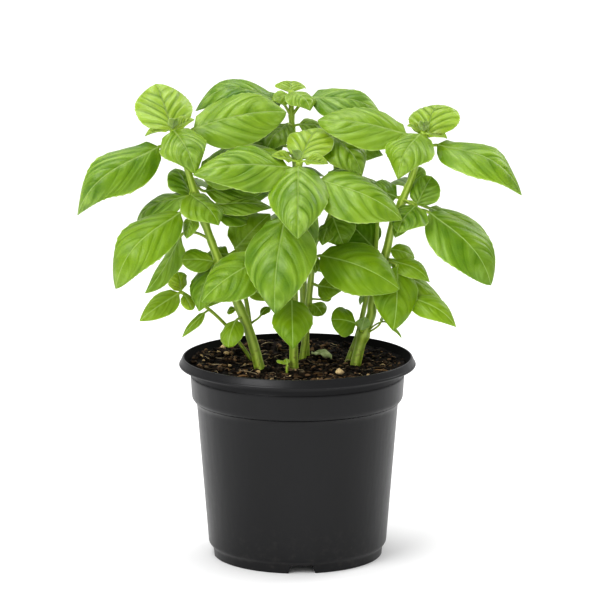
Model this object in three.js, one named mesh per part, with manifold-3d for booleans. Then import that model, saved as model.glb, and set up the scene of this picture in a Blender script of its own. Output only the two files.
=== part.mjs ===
// Potted basil: a 13 cm nursery pot filled with soil, seven basil stems, a seedling and a fallen seed leaf.
// Millimetres, +Z up. The pot's axis is the Z axis, the pot stands on z = 0, and -Y is the front.
import * as THREE from 'three';
import { mergeVertices } from 'three/addons/utils/BufferGeometryUtils.js';
import Module from 'manifold-3d';

const wasm = await Module();
wasm.setup();

// Pot: outside and inside outlines as [radius, height], from the ground up
const SIDES = 36;
const OUTSIDE = [
  [46.9, 0], [47.3, 4.6], [49.3, 7], [55.6, 85.6], [58.2, 88.6], [58.9, 100.6], [58.2, 104.4], [59.2, 106.2],
  [65, 106.4], [65.3, 107], [64.4, 108], [63.3, 111.2],
];
const INSIDE = [[62.4, 111.2], [59.6, 107.4], [57, 105.4], [56.8, 89.8], [54.2, 85.9], [47.9, 6.6]];
const FOOT_INNER_RADIUS = 44.9;
const FLOOR_UNDERSIDE = 5;
const NOTCH_COUNT = 4;
const NOTCH_TURN = -87;
const NOTCH_HEIGHT = 4.6;
const NOTCH_HALF_WIDTH = { ground: 7.1, top: 5.75 };
const DRAIN_COUNT = 8;
const DRAIN_RADIUS = 4;
const DRAIN_SIDES = 8;
const DRAIN_CIRCLE = 36;

// Soil: its surface lies a few millimetres under the rim and rises a little to the pot's wall
const SOIL_LEVEL = 106.3;
const SOIL_RISE = 2.1;
const SOIL_SIDE = [[47.4, 7], [53.7, 86], [56.3, 90.1], [56.6, 105.9]];
const SOIL_RINGS = [59.5, 47, 36, 24, 12];
// Small grit lies anywhere within a circle but at the stems and the fallen leaf
const GRIT = { count: 6, least: 1.1, most: 2, within: 54, fromStems: 7, fromLeaf: 16 };
// Pale crumbs that stand out on the soil, as [x, y, radius]
const CRUMBS = [
  [-41.7, 35, 1.6], [-39.5, 23.5, 1.9], [-53.5, 13, 1.7], [-21.5, -21.5, 1.6], [-27.3, -38, 1.4],
  [-13.8, -42, 1.5], [22.7, -30.5, 2.5], [38.3, -31.5, 1.3], [46.6, -8.5, 1.5],
];

// Stems and leaves
const STEM_SIDES = 6;
// A stem's hole is wider than the stem by a gap all round and is open above the soil
const HOLE = { gap: 0.5, steps: 3, above: 8 };
const BLADE_THICKNESS = 0.8;
const TIP_HALF_WIDTH = 0.5;
// A petiole's half width and thickness, which are less for narrow blades
const PETIOLE = { halfWidth: 1.05, thickness: 1.7, leastShare: 0.5, widthToFull: 45, long: 12 };
// How far a petiole runs outwards and up from its stem, and straight into its blade, as shares of its reach
const PETIOLE_PULL = { out: 0.24, up: 0.28, blade: 0.35 };
// Where a blade's outline is cut, along its midrib and across it, for blades from a width up
const BLADE_CUTS = [
  { fromWidth: 28, along: [0, 0.12, 0.33, 0.58, 0.82, 1], across: [-1, -0.5, 0, 0.5, 1] },
  { fromWidth: 18, along: [0, 0.15, 0.42, 0.74, 1], across: [-1, 0, 1] },
  { fromWidth: 12, along: [0, 0.22, 0.62, 1], across: [-1, 0, 1] },
  { fromWidth: 0, along: [0, 0.25, 0.65, 1], across: [-1, 1] },
];
// Forms of blade: exponents of the outline towards the base and towards the tip, how far the halves rise
// from the midrib and then curl down as shares of the half width, and how much the bow leans to the tip
const FORMS = {
  ovate: { outline: [0.5, 0.85], rise: 0.15, curl: 0.5, droop: 0.4 },
  broad: { outline: [0.5, 0.65], rise: 0.15, curl: 0.5, droop: 0.2 },
  round: { outline: [0.5, 0.5], rise: 0.2, curl: 0.45, droop: 0.1 },
  drawn: { outline: [0.5, 0.9], rise: 0.1, curl: 0.65, droop: 0.5 },
  hanging: { outline: [0.55, 0.7], rise: 0.05, curl: 0.35, droop: 0.4 },
  folded: { outline: [0.5, 0.85], rise: 0.6, curl: 0.1, droop: 0.2 },
};

const COLOURS = {
  pot: 0x343434,
  soil: 0x2a1a10,
  leaf: 0x6f9f33,
  young: 0x96bd45,
  fallen: 0x8f9a6a,
};

// Each plant is a list of shoots. A shoot has its axis from the root up, its radius at the foot and at the
// top, and its leaves: height on the stem, base of the blade, tip, width, bow of the midrib, roll, form.
const PLANTS = {
  stem_left: [
    {
      axis: [
        [-14, -13, 80], [-20.5, -13, 106.3], [-26, -11, 126], [-33.5, -9, 144.5], [-44.5, -8, 170],
        [-55.5, -7, 202.5], [-60.5, -7, 219], [-67.5, -6, 238],
      ],
      radius: [3, 1.3],
      leaves: [
        [237, [-68, -7, 237.8], [-77.3, 13, 260.3], 31, 2, -15, 'round'],
        [237, [-70, -7, 238], [-82.7, -7, 234.4], 7, 1, -20, 'folded'],
        [237, [-66, -6, 238.5], [-56, -2, 242.7], 8, 1, 30, 'folded'],
        [238, [-67.5, -8, 239], [-66, -14, 245], 6, 1, 0, 'folded'],
        [235, [-66.8, -9, 237.6], [-54.6, -27, 216.5], 26, 8, 22, 'ovate'],
        [224, [-75.6, -8, 228.5], [-119, -18, 193], 27, 18.8, -58, 'drawn'],
        [224, [-56, -3, 238], [-6, 4, 246], 32, 6, 52, 'broad'],
        [224, [-59, 5, 229], [-50, 38, 231], 24, 4, 0, 'ovate'],
        [217, [-53, -1, 213], [-10, -2, 225], 28, 4, 45, 'ovate'],
        [206, [-50, 1, 203], [-19.4, 8, 201], 18, 3, 40, 'ovate'],
        [203, [-58, -12, 203], [-42.5, -25, 188.5], 26, 3, 0, 'ovate'],
        [203, [-57, 3, 205], [-64, 36, 199], 22, 5, 0, 'ovate'],
        [202, [-58.5, -2, 200.5], [-67, 7, 214.5], 19, 2, 0, 'round'],
        [200, [-61, -6, 201], [-88, -3, 185], 18, 6, -35, 'ovate'],
        [197, [-45, -3, 196], [-14, -1, 194], 14, 3, 40, 'ovate'],
        [190, [-57, -12, 191], [-60, -18, 180], 11, 1, 0, 'ovate'],
        [190, [-46, 5, 190], [-20, 14, 187], 20, 3, 30, 'ovate'],
        [187, [-64, -14, 193.2], [-98.3, -28, 154.3], 27.3, 16, -44, 'hanging'],
        [187, [-46, 3, 189], [-28, 34, 183], 24, 6, 0, 'ovate'],
        [176, [-64, -4, 178.6], [-83.8, 2, 146], 17, -2, -50, 'ovate'],
        [168, [-46, -11, 166], [-63, -16, 167.8], 14, 2, -55, 'round'],
        [166, [-46, -11, 164], [-53.5, -22, 140.5], 20, 3, -10, 'ovate'],
        [160, [-37, -1, 162], [-42, 34, 150], 22, 5, 0, 'ovate'],
        [140, [-34, -9, 139], [-38.5, -8, 137], 5.5, 1, -40, 'round'],
        [134, [-33.5, -15, 134], [-37.5, -25, 121], 14, 2, 0, 'round'],
      ],
    },
    {
      axis: [[-25.5, -11, 124], [-27, -3, 136], [-29, 0, 147], [-31, 2, 160], [-33.5, 3, 172]],
      radius: [1.2, 1],
      leaves: [
        [171, [-34, 1, 171], [-15, 9, 189], 26, 3, 60, 'ovate'],
        [169, [-38, 0, 168], [-52, 6, 165], 14, 2, -40, 'ovate'],
        [158, [-33, -3, 160], [-49, -15, 141.5], 18, 3, -20, 'ovate'],
        [148, [-27, -3, 150], [-16, -7, 143.5], 9, 1, 30, 'ovate'],
        [130, [-20, -7, 135.5], [-15, -5, 139.5], 6, 1, 30, 'round'],
      ],
    },
  ],
  stem_left_low: [
    {
      axis: [
        [-14, 10, 80], [-25.2, 6.8, 106.3], [-31.5, 4, 117], [-38, 0, 127], [-49, -4, 138.5],
        [-63.6, -8, 148.6],
      ],
      radius: [1.1, 0.8],
      leaves: [
        [148, [-64, -9, 149.5], [-65.5, -10, 160], 14, 1, -80, 'round'],
        [148, [-65, -9, 148], [-86, -16, 134], 14, 2, -50, 'ovate'],
        [147, [-62, -10, 147], [-57.5, -16, 140], 8, 1, 0, 'round'],
        [137, [-51, -6, 136.5], [-63, -11, 124], 6, 1, -30, 'ovate'],
      ],
    },
  ],
  stem_centre_front: [
    {
      axis: [[-2.5, -13, 80], [-2, -13, 106.3], [-2, -12, 140], [-1, -12, 180], [1, -14, 221.5]],
      radius: [2.7, 1.3],
      leaves: [
        [221, [2, -13, 223], [12, 6, 237], 26, 3, 10, 'round'],
        [221, [-3, -15, 222.5], [-14, -16, 225], 7, 1, -40, 'folded'],
        [221, [4, -15, 222], [16.7, -18, 221], 8, 1, 40, 'folded'],
        [221, [0.5, -15, 223], [-2.5, -21, 229], 6, 1, 0, 'folded'],
        [216, [0.5, -19, 219.5], [0.3, -47, 185], 32, 6, 0, 'ovate'],
        [214, [-5.5, -18, 219], [-56, -31, 217], 29.5, 6.5, -47, 'ovate'],
        [208, [12.5, -20, 212.5], [56.4, -28, 192], 35, 5, 35, 'ovate'],
        [196, [-6.8, -27, 193], [-12, -46, 144], 39, 7, -5, 'ovate'],
        [196, [3, -5, 196], [5, 2, 163], 16, 2, 180, 'ovate'],
        [172, [-21, -26, 170], [-51.6, -33, 148], 28, 5, -45, 'ovate'],
        [146, [-3, -20, 146], [-2.4, -40, 123.5], 22, 4, 0, 'ovate'],
      ],
    },
  ],
  stem_centre_right: [
    {
      axis: [
        [1, 6.5, 80], [2.6, 6.8, 106.3], [4.7, 7, 122], [6.3, 6, 141.4], [8.5, 4, 163.8], [9.6, 3, 173.7],
        [16.5, 2, 185], [21, 6, 205], [20, 10, 228],
      ],
      radius: [1.9, 1.1],
      leaves: [
        [226, [17, 7, 234], [35, -4, 212], 27, 6, 20, 'ovate'],
        [222, [22, 12, 228], [47, 16, 220.5], 21, 3, 30, 'ovate'],
        [210, [21, 2, 212.5], [26, -7, 216], 14, 2, 0, 'ovate'],
        [205, [25, 9, 206], [46, 28, 199], 22, 5, 10, 'ovate'],
        [186, [19.5, 0, 188.5], [26, -4, 172.5], 20, 3, 60, 'ovate'],
        [184, [17, 0, 185], [13.5, -8, 174.5], 10, 1, 0, 'ovate'],
        [165, [9, 1, 167], [10, -5, 158.5], 6, 1, 0, 'ovate'],
        [160, [13, -7, 168.5], [55.3, -24, 153.2], 30.5, 8.5, 48, 'broad'],
        [150, [11.5, 0, 150.5], [24, -5, 148.5], 14, 2, 60, 'ovate'],
        [141, [13, 5, 142], [18.7, 5, 142.7], 4, 0, 40, 'round'],
        [139, [8, 3, 139.5], [13.8, -3, 134.5], 12, 2, 20, 'round'],
      ],
    },
  ],
  stem_centre_back: [
    {
      axis: [[5, 23, 80], [4.5, 24, 106.3], [3, 24, 150], [0, 25, 200], [-3, 26, 235], [-3.5, 26, 255]],
      radius: [2.4, 1.2],
      leaves: [
        [254, [-4, 27, 254], [-3.5, 37, 258.6], 17, 2, 0, 'round'],
        [252, [-5, 22, 253], [-14, 17, 250.5], 11, 1, -30, 'ovate'],
        [252, [-2, 22, 254.5], [7, 10, 246], 19, 3, 0, 'ovate'],
        [241, [-9, 26, 248.5], [-56, 22, 244.2], 26, 14, -35, 'ovate'],
        [241, [8, 22, 251.5], [45.5, 18, 243.5], 22, 6, 42, 'ovate'],
        [234, [-6, 20, 237], [-17, 9, 223], 22, 3, 0, 'ovate'],
        [234, [1, 23, 236.5], [15, 24, 232.5], 11, 3, 40, 'ovate'],
        [230, [-3, 33, 229], [-8, 64, 220], 28, 4, 0, 'ovate'],
        [222, [-8, 21, 225], [-36, 12, 225.5], 16, 3, -40, 'ovate'],
        [220, [6, 32, 223], [36, 56, 213], 26, 6, 0, 'ovate'],
        [218, [-11, 32, 220], [-42, 54, 211], 26, 6, 0, 'ovate'],
        [208, [-1, 35, 209], [4, 64, 196], 28, 6, 0, 'ovate'],
        [196, [8, 32, 199], [34, 58, 186], 26, 6, 0, 'ovate'],
        [194, [-9, 32, 197], [-34, 57, 184], 26, 6, 0, 'ovate'],
        [184, [0, 36, 186], [-6, 64, 170], 28, 6, 0, 'ovate'],
        [172, [9, 31, 175], [35, 54, 161], 26, 6, 0, 'ovate'],
        [170, [-6, 32, 173], [-32, 54, 159], 26, 6, 0, 'ovate'],
        [154, [6, 32, 156], [24, 56, 142], 22, 5, 0, 'ovate'],
        [152, [-3, 32, 154], [-18, 56, 140], 22, 5, 0, 'ovate'],
      ],
    },
  ],
  stem_right: [
    {
      axis: [
        [26.5, -3, 80], [31.8, -3, 106.3], [35.5, -1, 121], [40.5, -1, 134.3], [41.5, -2, 143],
        [48.5, -4, 170], [52, -5, 185.4], [58.5, -6, 202.2], [63.5, -7, 215.8], [68.5, -8, 237],
      ],
      radius: [3, 1.3],
      leaves: [
        [236, [70.5, -9, 234], [79, 6, 249.6], 30, 6, 8, 'round'],
        [236, [71, -10, 236], [81, -13, 234], 7, 1, 30, 'folded'],
        [236, [67, -8, 237.5], [59.5, -7, 240], 6, 1, -30, 'folded'],
        [237, [68.5, -10, 238], [68, -15.5, 243.5], 6, 1, 0, 'folded'],
        [234, [66.2, -12, 236], [54, -29, 214.3], 27, 7, -12, 'ovate'],
        [224, [58.7, -6, 235.4], [11, 0, 242], 26, 4.5, -47, 'broad'],
        [224, [60, 2, 229], [48, 36, 227], 22, 5, 0, 'ovate'],
        [222, [76, -10, 230], [121, -22, 204.5], 27, 10.5, 30, 'ovate'],
        [206, [63, -3, 207], [67, 4, 216], 11, 1, 0, 'round'],
        [203, [59, 2, 206], [64, 34, 199], 20, 5, 0, 'ovate'],
        [200, [54, -1, 200], [36, 4, 203], 20, 3, -40, 'ovate'],
        [198, [65, -11, 197.5], [73, -8, 212.5], 18, 1, 65, 'round'],
        [198, [64, -14, 197], [54, -27, 184.5], 23, 3, 10, 'ovate'],
        [196, [72, -5, 194.5], [108, -8, 166.5], 20, 8, 30, 'ovate'],
        [192, [58, -9, 189], [53, -15, 180], 9, 1, 10, 'ovate'],
        [188, [51, 3, 190], [38, 34, 183], 24, 6, 0, 'ovate'],
        [187, [72, -12, 193], [104.8, -25, 155.6], 31.9, 9.3, 36, 'hanging'],
        [170, [51, -2, 171], [64, -3, 166.5], 13, 2, 40, 'round'],
        [166, [52, -7, 165.5], [72, -14, 155.3], 13, 5, 40, 'ovate'],
        [162, [54.5, -12, 163], [52, -23, 130], 26, 3, 0, 'ovate'],
        [162, [48, 3, 165], [60, 32, 153], 20, 3, 0, 'ovate'],
        [158, [56, -2, 158], [80.5, -4, 140], 14, 3, 30, 'ovate'],
        [146, [61, -8, 146], [86.5, -16, 130.8], 15, 6, 45, 'ovate'],
        [124, [31.5, -8, 131], [18.4, -14, 134.5], 18, 2, -60, 'round'],
        [124, [35, -6, 127], [37, -8, 134.5], 8, 1, 0, 'round'],
        [122, [50, -5, 130.5], [57, -8, 123], 5, 1, 0, 'ovate'],
        [122, [46, -4, 131.5], [53, -9, 143], 10, 1, 0, 'round'],
      ],
    },
  ],
  stem_right_second: [
    {
      axis: [
        [20, 4, 80], [27.4, 3.5, 106.3], [33.2, 5, 122], [37.7, 5, 141.4], [41, 5, 155], [43, 5, 169.5],
        [44, 7, 186],
      ],
      radius: [1.5, 1],
      leaves: [
        [168, [42, 6, 170.5], [27, 14, 185], 22, 2, -60, 'ovate'],
        [150, [38, 8, 148], [34.5, 9, 138], 8, 1, 0, 'ovate'],
      ],
    },
  ],
  seedling: [
    {
      axis: [[-5.2, -21.5, 99], [-5.7, -21, 106.3], [-5.7, -20.5, 110.5]],
      radius: [0.7, 0.6],
      leaves: [
        [110, [-6.2, -20.7, 111], [-11.4, -21, 113], 4, 0.4, -20, 'round'],
        [110, [-5.6, -20.1, 111], [-6, -16, 113], 3.4, 0.4, 0, 'round'],
      ],
    },
  ],
};
const FALLEN_LEAF = { base: [9, 21], tip: [19, 7], width: 8, lift: 1.2, thickness: 0.7 };

const UP = new THREE.Vector3(0, 0, 1);

// A closed solid through a row of like loops of points. `mirrored` names the loop steps whose quads are
// split along the other diagonal, so that a thin blade is split alike on its two faces.
function loft(loops, mirrored = () => false) {
  const count = loops[0].length;
  const positions = loops.flat().flatMap((point) => point.toArray());
  const triangles = [];
  for (let row = 0; row < loops.length - 1; row += 1) {
    for (let k = 0; k < count; k += 1) {
      const a = row * count + k;
      const b = row * count + ((k + 1) % count);
      const c = b + count;
      const d = a + count;
      if (mirrored(k)) {
        triangles.push(a, b, d, b, c, d);
      } else {
        triangles.push(a, b, c, a, c, d);
      }
    }
  }
  const last = (loops.length - 1) * count;
  for (let k = 1; k < count - 1; k += 1) {
    triangles.push(0, k + 1, k);
    triangles.push(last, last + k, last + k + 1);
  }
  const geometry = new THREE.BufferGeometry();
  geometry.setAttribute('position', new THREE.Float32BufferAttribute(positions, 3));
  geometry.setIndex(triangles);
  return geometry;
}

function toSolid(source) {
  const bare = source.clone();
  bare.deleteAttribute('normal');
  bare.deleteAttribute('uv');
  const merged = mergeVertices(bare, 1e-4);
  return new wasm.Manifold(new wasm.Mesh({
    numProp: 3,
    vertProperties: new Float32Array(merged.attributes.position.array),
    triVerts: new Uint32Array(merged.index.array),
  }));
}

function toGeometry(solid) {
  const mesh = solid.getMesh();
  const geometry = new THREE.BufferGeometry();
  geometry.setAttribute('position', new THREE.Float32BufferAttribute(mesh.vertProperties, 3));
  geometry.setIndex(Array.from(mesh.triVerts));
  geometry.computeVertexNormals();
  return geometry;
}

// Joined pieces as one solid, without the pockets and scraps that joining can leave
function joined(solids) {
  const bodies = wasm.Manifold.union(solids).decompose();
  return bodies.reduce((largest, body) => (body.volume() > largest.volume() ? body : largest));
}

function ring(radius, height) {
  return Array.from({ length: SIDES }, (_, k) => {
    const angle = (2 * Math.PI * k) / SIDES;
    return new THREE.Vector3(radius * Math.cos(angle), radius * Math.sin(angle), height);
  });
}

// The pot is turned from one outline, then the foot is notched and the floor drilled
function potSolid() {
  const outline = [
    [0, FLOOR_UNDERSIDE], [FOOT_INNER_RADIUS + 0.3, FLOOR_UNDERSIDE], [FOOT_INNER_RADIUS, 0],
    ...OUTSIDE, ...INSIDE, [0, INSIDE.at(-1)[1]],
  ];
  const turned = new THREE.LatheGeometry(outline.map(([x, y]) => new THREE.Vector2(x, y)), SIDES);
  turned.rotateX(Math.PI / 2);
  let pot = toSolid(turned);

  const spread = (NOTCH_HALF_WIDTH.ground - NOTCH_HALF_WIDTH.top) / NOTCH_HEIGHT;
  const opening = new THREE.Shape([
    new THREE.Vector2(-NOTCH_HALF_WIDTH.ground - spread, -1),
    new THREE.Vector2(NOTCH_HALF_WIDTH.ground + spread, -1),
    new THREE.Vector2(NOTCH_HALF_WIDTH.top, NOTCH_HEIGHT),
    new THREE.Vector2(-NOTCH_HALF_WIDTH.top, NOTCH_HEIGHT),
  ]);
  for (let k = 0; k < NOTCH_COUNT; k += 1) {
    const notch = new THREE.ExtrudeGeometry(opening, { depth: 10, bevelEnabled: false });
    notch.rotateX(Math.PI / 2);
    notch.rotateZ(Math.PI / 2);
    notch.translate(FOOT_INNER_RADIUS - 4, 0, 0);
    notch.rotateZ(THREE.MathUtils.degToRad(NOTCH_TURN + (360 * k) / NOTCH_COUNT));
    pot = pot.subtract(toSolid(notch));
  }
  for (let k = 0; k < DRAIN_COUNT; k += 1) {
    const hole = new THREE.CylinderGeometry(DRAIN_RADIUS, DRAIN_RADIUS, 6, DRAIN_SIDES);
    hole.rotateX(Math.PI / 2);
    hole.translate(DRAIN_CIRCLE, 0, FLOOR_UNDERSIDE + 1);
    hole.rotateZ((2 * Math.PI * k) / DRAIN_COUNT);
    pot = pot.subtract(toSolid(hole));
  }
  return pot;
}

// Lumps of one and a half millimetres, which fade out where the soil rises to the pot's wall
function soilHeight(x, y) {
  const atWall = (Math.hypot(x, y) / SOIL_RINGS[0]) ** 4;
  const lumps = 0.8 * Math.sin(0.19 * x + 1.3) * Math.sin(0.23 * y + 0.4);
  const ripples = 0.45 * Math.sin(0.41 * x - 0.33 * y + 2);
  return SOIL_LEVEL + (1 - atWall) * (lumps + ripples) + SOIL_RISE * atWall;
}

function seededRandom(seed) {
  let state = seed;
  return () => {
    state = (state * 1664525 + 1013904223) % 4294967296;
    return state / 4294967296;
  };
}

function gritSolid(x, y, radius, random) {
  const crumb = new THREE.IcosahedronGeometry(radius, 0);
  crumb.scale(1, 0.8 + 0.3 * random(), 0.75);
  crumb.rotateZ(Math.PI * random());
  crumb.translate(x, y, soilHeight(x, y) + 0.2 * radius);
  return toSolid(crumb);
}

// The soil fills the pot with a small gap to its wall. Grit is sunk half into it, and every stem stands in
// a plain hole a little wider than itself.
function soilSolid(shoots) {
  const loops = SOIL_SIDE.map(([radius, height]) => ring(radius, height));
  for (const radius of SOIL_RINGS) {
    loops.push(ring(radius, 0).map((point) => point.setZ(soilHeight(point.x, point.y))));
  }
  const random = seededRandom(7);
  const parts = [toSolid(loft(loops)), ...CRUMBS.map(([x, y, radius]) => gritSolid(x, y, radius, random))];
  const feet = shoots.map((shoot) => shoot.axis[1]);
  while (parts.length < 1 + CRUMBS.length + GRIT.count) {
    const distance = GRIT.within * Math.sqrt(random());
    const angle = 2 * Math.PI * random();
    const x = distance * Math.cos(angle);
    const y = distance * Math.sin(angle);
    const radius = THREE.MathUtils.lerp(GRIT.least, GRIT.most, random() ** 2);
    const clearOfStems = feet.every((foot) => Math.hypot(foot[0] - x, foot[1] - y) > GRIT.fromStems);
    const clearOfLeaf = Math.hypot(x - FALLEN_LEAF.base[0], y - FALLEN_LEAF.tip[1]) > GRIT.fromLeaf;
    if (clearOfStems && clearOfLeaf) {
      parts.push(gritSolid(x, y, radius, random));
    }
  }
  let soil = joined(parts);
  for (const shoot of shoots) {
    soil = soil.subtract(toSolid(stemGeometry(shoot, HOLE.steps, HOLE.gap, SOIL_LEVEL + HOLE.above)));
  }
  return soil;
}

function stemCurve(shoot) {
  const points = shoot.axis.map((point) => new THREE.Vector3(...point));
  return new THREE.CatmullRomCurve3(points, false, 'catmullrom');
}

// Stems only rise, so a height names one point on the axis
function pointAtHeight(curve, height) {
  let low = 0;
  let high = 1;
  for (let step = 0; step < 30; step += 1) {
    const middle = (low + high) / 2;
    if (curve.getPoint(middle).z < height) {
      low = middle;
    } else {
      high = middle;
    }
  }
  return { point: curve.getPoint(low), share: low };
}

// A tapering tube along the shoot's axis. `grow` widens it and lowers its foot, to cut its hole in the soil.
function stemGeometry(shoot, steps, grow = 0, top = Infinity) {
  const curve = stemCurve(shoot);
  const [foot, tip] = shoot.radius;
  const end = pointAtHeight(curve, top).share;
  const loops = [];
  for (let row = 0; row <= steps; row += 1) {
    const share = (end * row) / steps;
    const centre = curve.getPoint(share);
    const along = curve.getTangent(share);
    const aside = new THREE.Vector3(1, 0, 0).projectOnPlane(along).normalize();
    const radius = THREE.MathUtils.lerp(foot, tip, share) + grow;
    if (row === 0) {
      centre.addScaledVector(along, -grow);
    }
    loops.push(Array.from({ length: STEM_SIDES }, (_, k) => {
      const spoke = aside.clone().applyAxisAngle(along, (2 * Math.PI * k) / STEM_SIDES);
      return centre.clone().addScaledVector(spoke, radius);
    }));
  }
  return loft(loops);
}

// Half the blade's width at a share of its length, as a share of half the full width
function outlineShare(share, form) {
  const [toBase, toTip] = FORMS[form].outline;
  const widest = toBase / (toBase + toTip);
  return (share ** toBase * (1 - share) ** toTip) / (widest ** toBase * (1 - widest) ** toTip);
}

// The loop round a thin strip: its upper face from edge to edge, then its lower face back. The strip lies
// square to `along`, and its `right` edge leans as little as it can.
function stripLoop(centre, along, right, across, halfWidth, thickness, bend) {
  const side = right.clone().projectOnPlane(along).normalize();
  const face = side.clone().cross(along);
  const upper = across.map((v) => centre.clone()
    .addScaledVector(side, halfWidth * v)
    .addScaledVector(face, halfWidth * bend(v) + thickness / 2));
  const lower = upper.map((point) => point.clone().addScaledVector(face, -thickness)).reverse();
  return [...upper, ...lower];
}

// One leaf, petiole and blade in one thin loft. The midrib bows off the straight line from the blade's base
// to its tip, and the halves of the blade rise from it and curl down by its form.
function leafGeometry(node, [, base, tip, width, bow, roll, form]) {
  const cuts = BLADE_CUTS.find((choice) => width >= choice.fromWidth);
  const start = new THREE.Vector3(...base);
  const chord = new THREE.Vector3(...tip).sub(start);
  const outward = new THREE.Vector3(tip[0] - node.x, tip[1] - node.y, 0).normalize();
  const straight = chord.clone().normalize();
  const right = outward.clone().cross(UP).projectOnPlane(straight).normalize();
  right.applyAxisAngle(straight, THREE.MathUtils.degToRad(roll));
  const face = right.clone().cross(straight);

  const size = Math.min(1, PETIOLE.leastShare + width / PETIOLE.widthToFull);
  const petioleHalfWidth = PETIOLE.halfWidth * size;
  const petioleThickness = PETIOLE.thickness * size;
  const { rise, curl, droop } = FORMS[form];
  const flat = () => 0;
  const curled = (v) => rise * Math.abs(v) - curl * v * v;
  const lift = (share) => 4 * bow * share * (1 - share) * (1 + droop * (2 * share - 1));
  const slope = (share) => 4 * bow * (
    (1 - 2 * share) * (1 + droop * (2 * share - 1)) + 2 * droop * share * (1 - share));
  const tangent = (share) => chord.clone().addScaledVector(face, slope(share)).normalize();
  const loops = [];

  const reach = start.distanceTo(node);
  const leaving = node.clone()
    .addScaledVector(outward, PETIOLE_PULL.out * reach)
    .addScaledVector(UP, PETIOLE_PULL.up * reach);
  const arriving = start.clone().addScaledVector(tangent(0), -PETIOLE_PULL.blade * reach);
  const petiole = new THREE.CubicBezierCurve3(node, leaving, arriving, start);
  for (const share of reach > PETIOLE.long ? [0, 0.55] : [0]) {
    const centre = petiole.getPoint(share);
    const along = petiole.getTangent(share);
    loops.push(stripLoop(centre, along, right, cuts.across, petioleHalfWidth, petioleThickness, flat));
  }
  for (const share of cuts.along) {
    const centre = start.clone().addScaledVector(chord, share).addScaledVector(face, lift(share));
    const along = tangent(share);
    if (share === 0) {
      loops.push(stripLoop(centre, along, right, cuts.across, petioleHalfWidth, petioleThickness, flat));
    } else {
      const halfWidth = Math.max((width / 2) * outlineShare(share, form), TIP_HALF_WIDTH);
      loops.push(stripLoop(centre, along, right, cuts.across, halfWidth, BLADE_THICKNESS, curled));
    }
  }
  return loft(loops, (k) => k >= cuts.across.length);
}

function plantSolid(shoots) {
  const pieces = [];
  for (const shoot of shoots) {
    const curve = stemCurve(shoot);
    pieces.push(toSolid(stemGeometry(shoot, Math.ceil(1.5 * shoot.axis.length))));
    for (const row of shoot.leaves) {
      pieces.push(toSolid(leafGeometry(pointAtHeight(curve, row[0]).point, row)));
    }
  }
  return joined(pieces);
}

// The fallen leaf follows the soil under it
function fallenLeafSolid() {
  const { base, tip, width, lift, thickness } = FALLEN_LEAF;
  const start = new THREE.Vector2(...base);
  const chord = new THREE.Vector2(...tip).sub(start);
  const aside = new THREE.Vector2(chord.y, -chord.x).normalize();
  const loops = [0.02, 0.15, 0.4, 0.7, 0.95].map((share) => {
    const half = Math.max(0.6, (width / 2) * outlineShare(share, 'ovate'));
    const middle = start.clone().addScaledVector(chord, share);
    const upper = [-1, 0, 1].map((v) => {
      const place = middle.clone().addScaledVector(aside, half * v);
      return new THREE.Vector3(place.x, place.y, soilHeight(place.x, place.y) + lift + thickness);
    });
    const lower = upper.map((point) => point.clone().addScaledVector(UP, -thickness)).reverse();
    return [...upper, ...lower];
  });
  return toSolid(loft(loops, (k) => k >= 3));
}

const part = new THREE.Group();

function addPiece(name, solid, color, roughness) {
  const material = new THREE.MeshStandardMaterial({ color, roughness, metalness: 0 });
  const mesh = new THREE.Mesh(toGeometry(solid), material);
  mesh.name = name;
  part.add(mesh);
}

addPiece('pot', potSolid(), COLOURS.pot, 0.45);
addPiece('soil', soilSolid(Object.values(PLANTS).map((shoots) => shoots[0])), COLOURS.soil, 0.95);
for (const [name, shoots] of Object.entries(PLANTS)) {
  addPiece(name, plantSolid(shoots), name === 'seedling' ? COLOURS.young : COLOURS.leaf, 0.5);
}
addPiece('fallen_leaf', fallenLeafSolid(), COLOURS.fallen, 0.8);

export default part;
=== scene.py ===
# A sweet basil plant in a black nursery pot, dressed for its picture. Metres, +Z up. The pot's axis is the
# Z axis, the pot stands on z = 0, and the camera looks along +Y.
from math import cos, pi, radians, sin

import bpy
import numpy as np
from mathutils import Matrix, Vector


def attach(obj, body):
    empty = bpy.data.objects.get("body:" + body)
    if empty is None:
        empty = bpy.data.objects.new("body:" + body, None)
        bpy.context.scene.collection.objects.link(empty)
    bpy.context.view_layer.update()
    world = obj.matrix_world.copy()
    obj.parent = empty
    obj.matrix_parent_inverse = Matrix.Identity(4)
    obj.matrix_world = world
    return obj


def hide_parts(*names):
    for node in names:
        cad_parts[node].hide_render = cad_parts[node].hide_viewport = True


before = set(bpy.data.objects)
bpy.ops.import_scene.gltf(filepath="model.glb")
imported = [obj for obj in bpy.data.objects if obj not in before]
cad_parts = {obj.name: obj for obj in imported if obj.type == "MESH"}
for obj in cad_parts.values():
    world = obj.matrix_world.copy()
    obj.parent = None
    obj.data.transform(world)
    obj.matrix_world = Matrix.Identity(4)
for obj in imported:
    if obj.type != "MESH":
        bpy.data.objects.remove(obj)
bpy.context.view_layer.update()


# The studio: a sheet of white paper in white surroundings. Three soft lamps light the plant from the front
# left, from above and from the back right, and a white board by the camera fills the shadows without being
# mirrored in the pot. The camera stands about 1.9 m away with a long lens.

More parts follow.
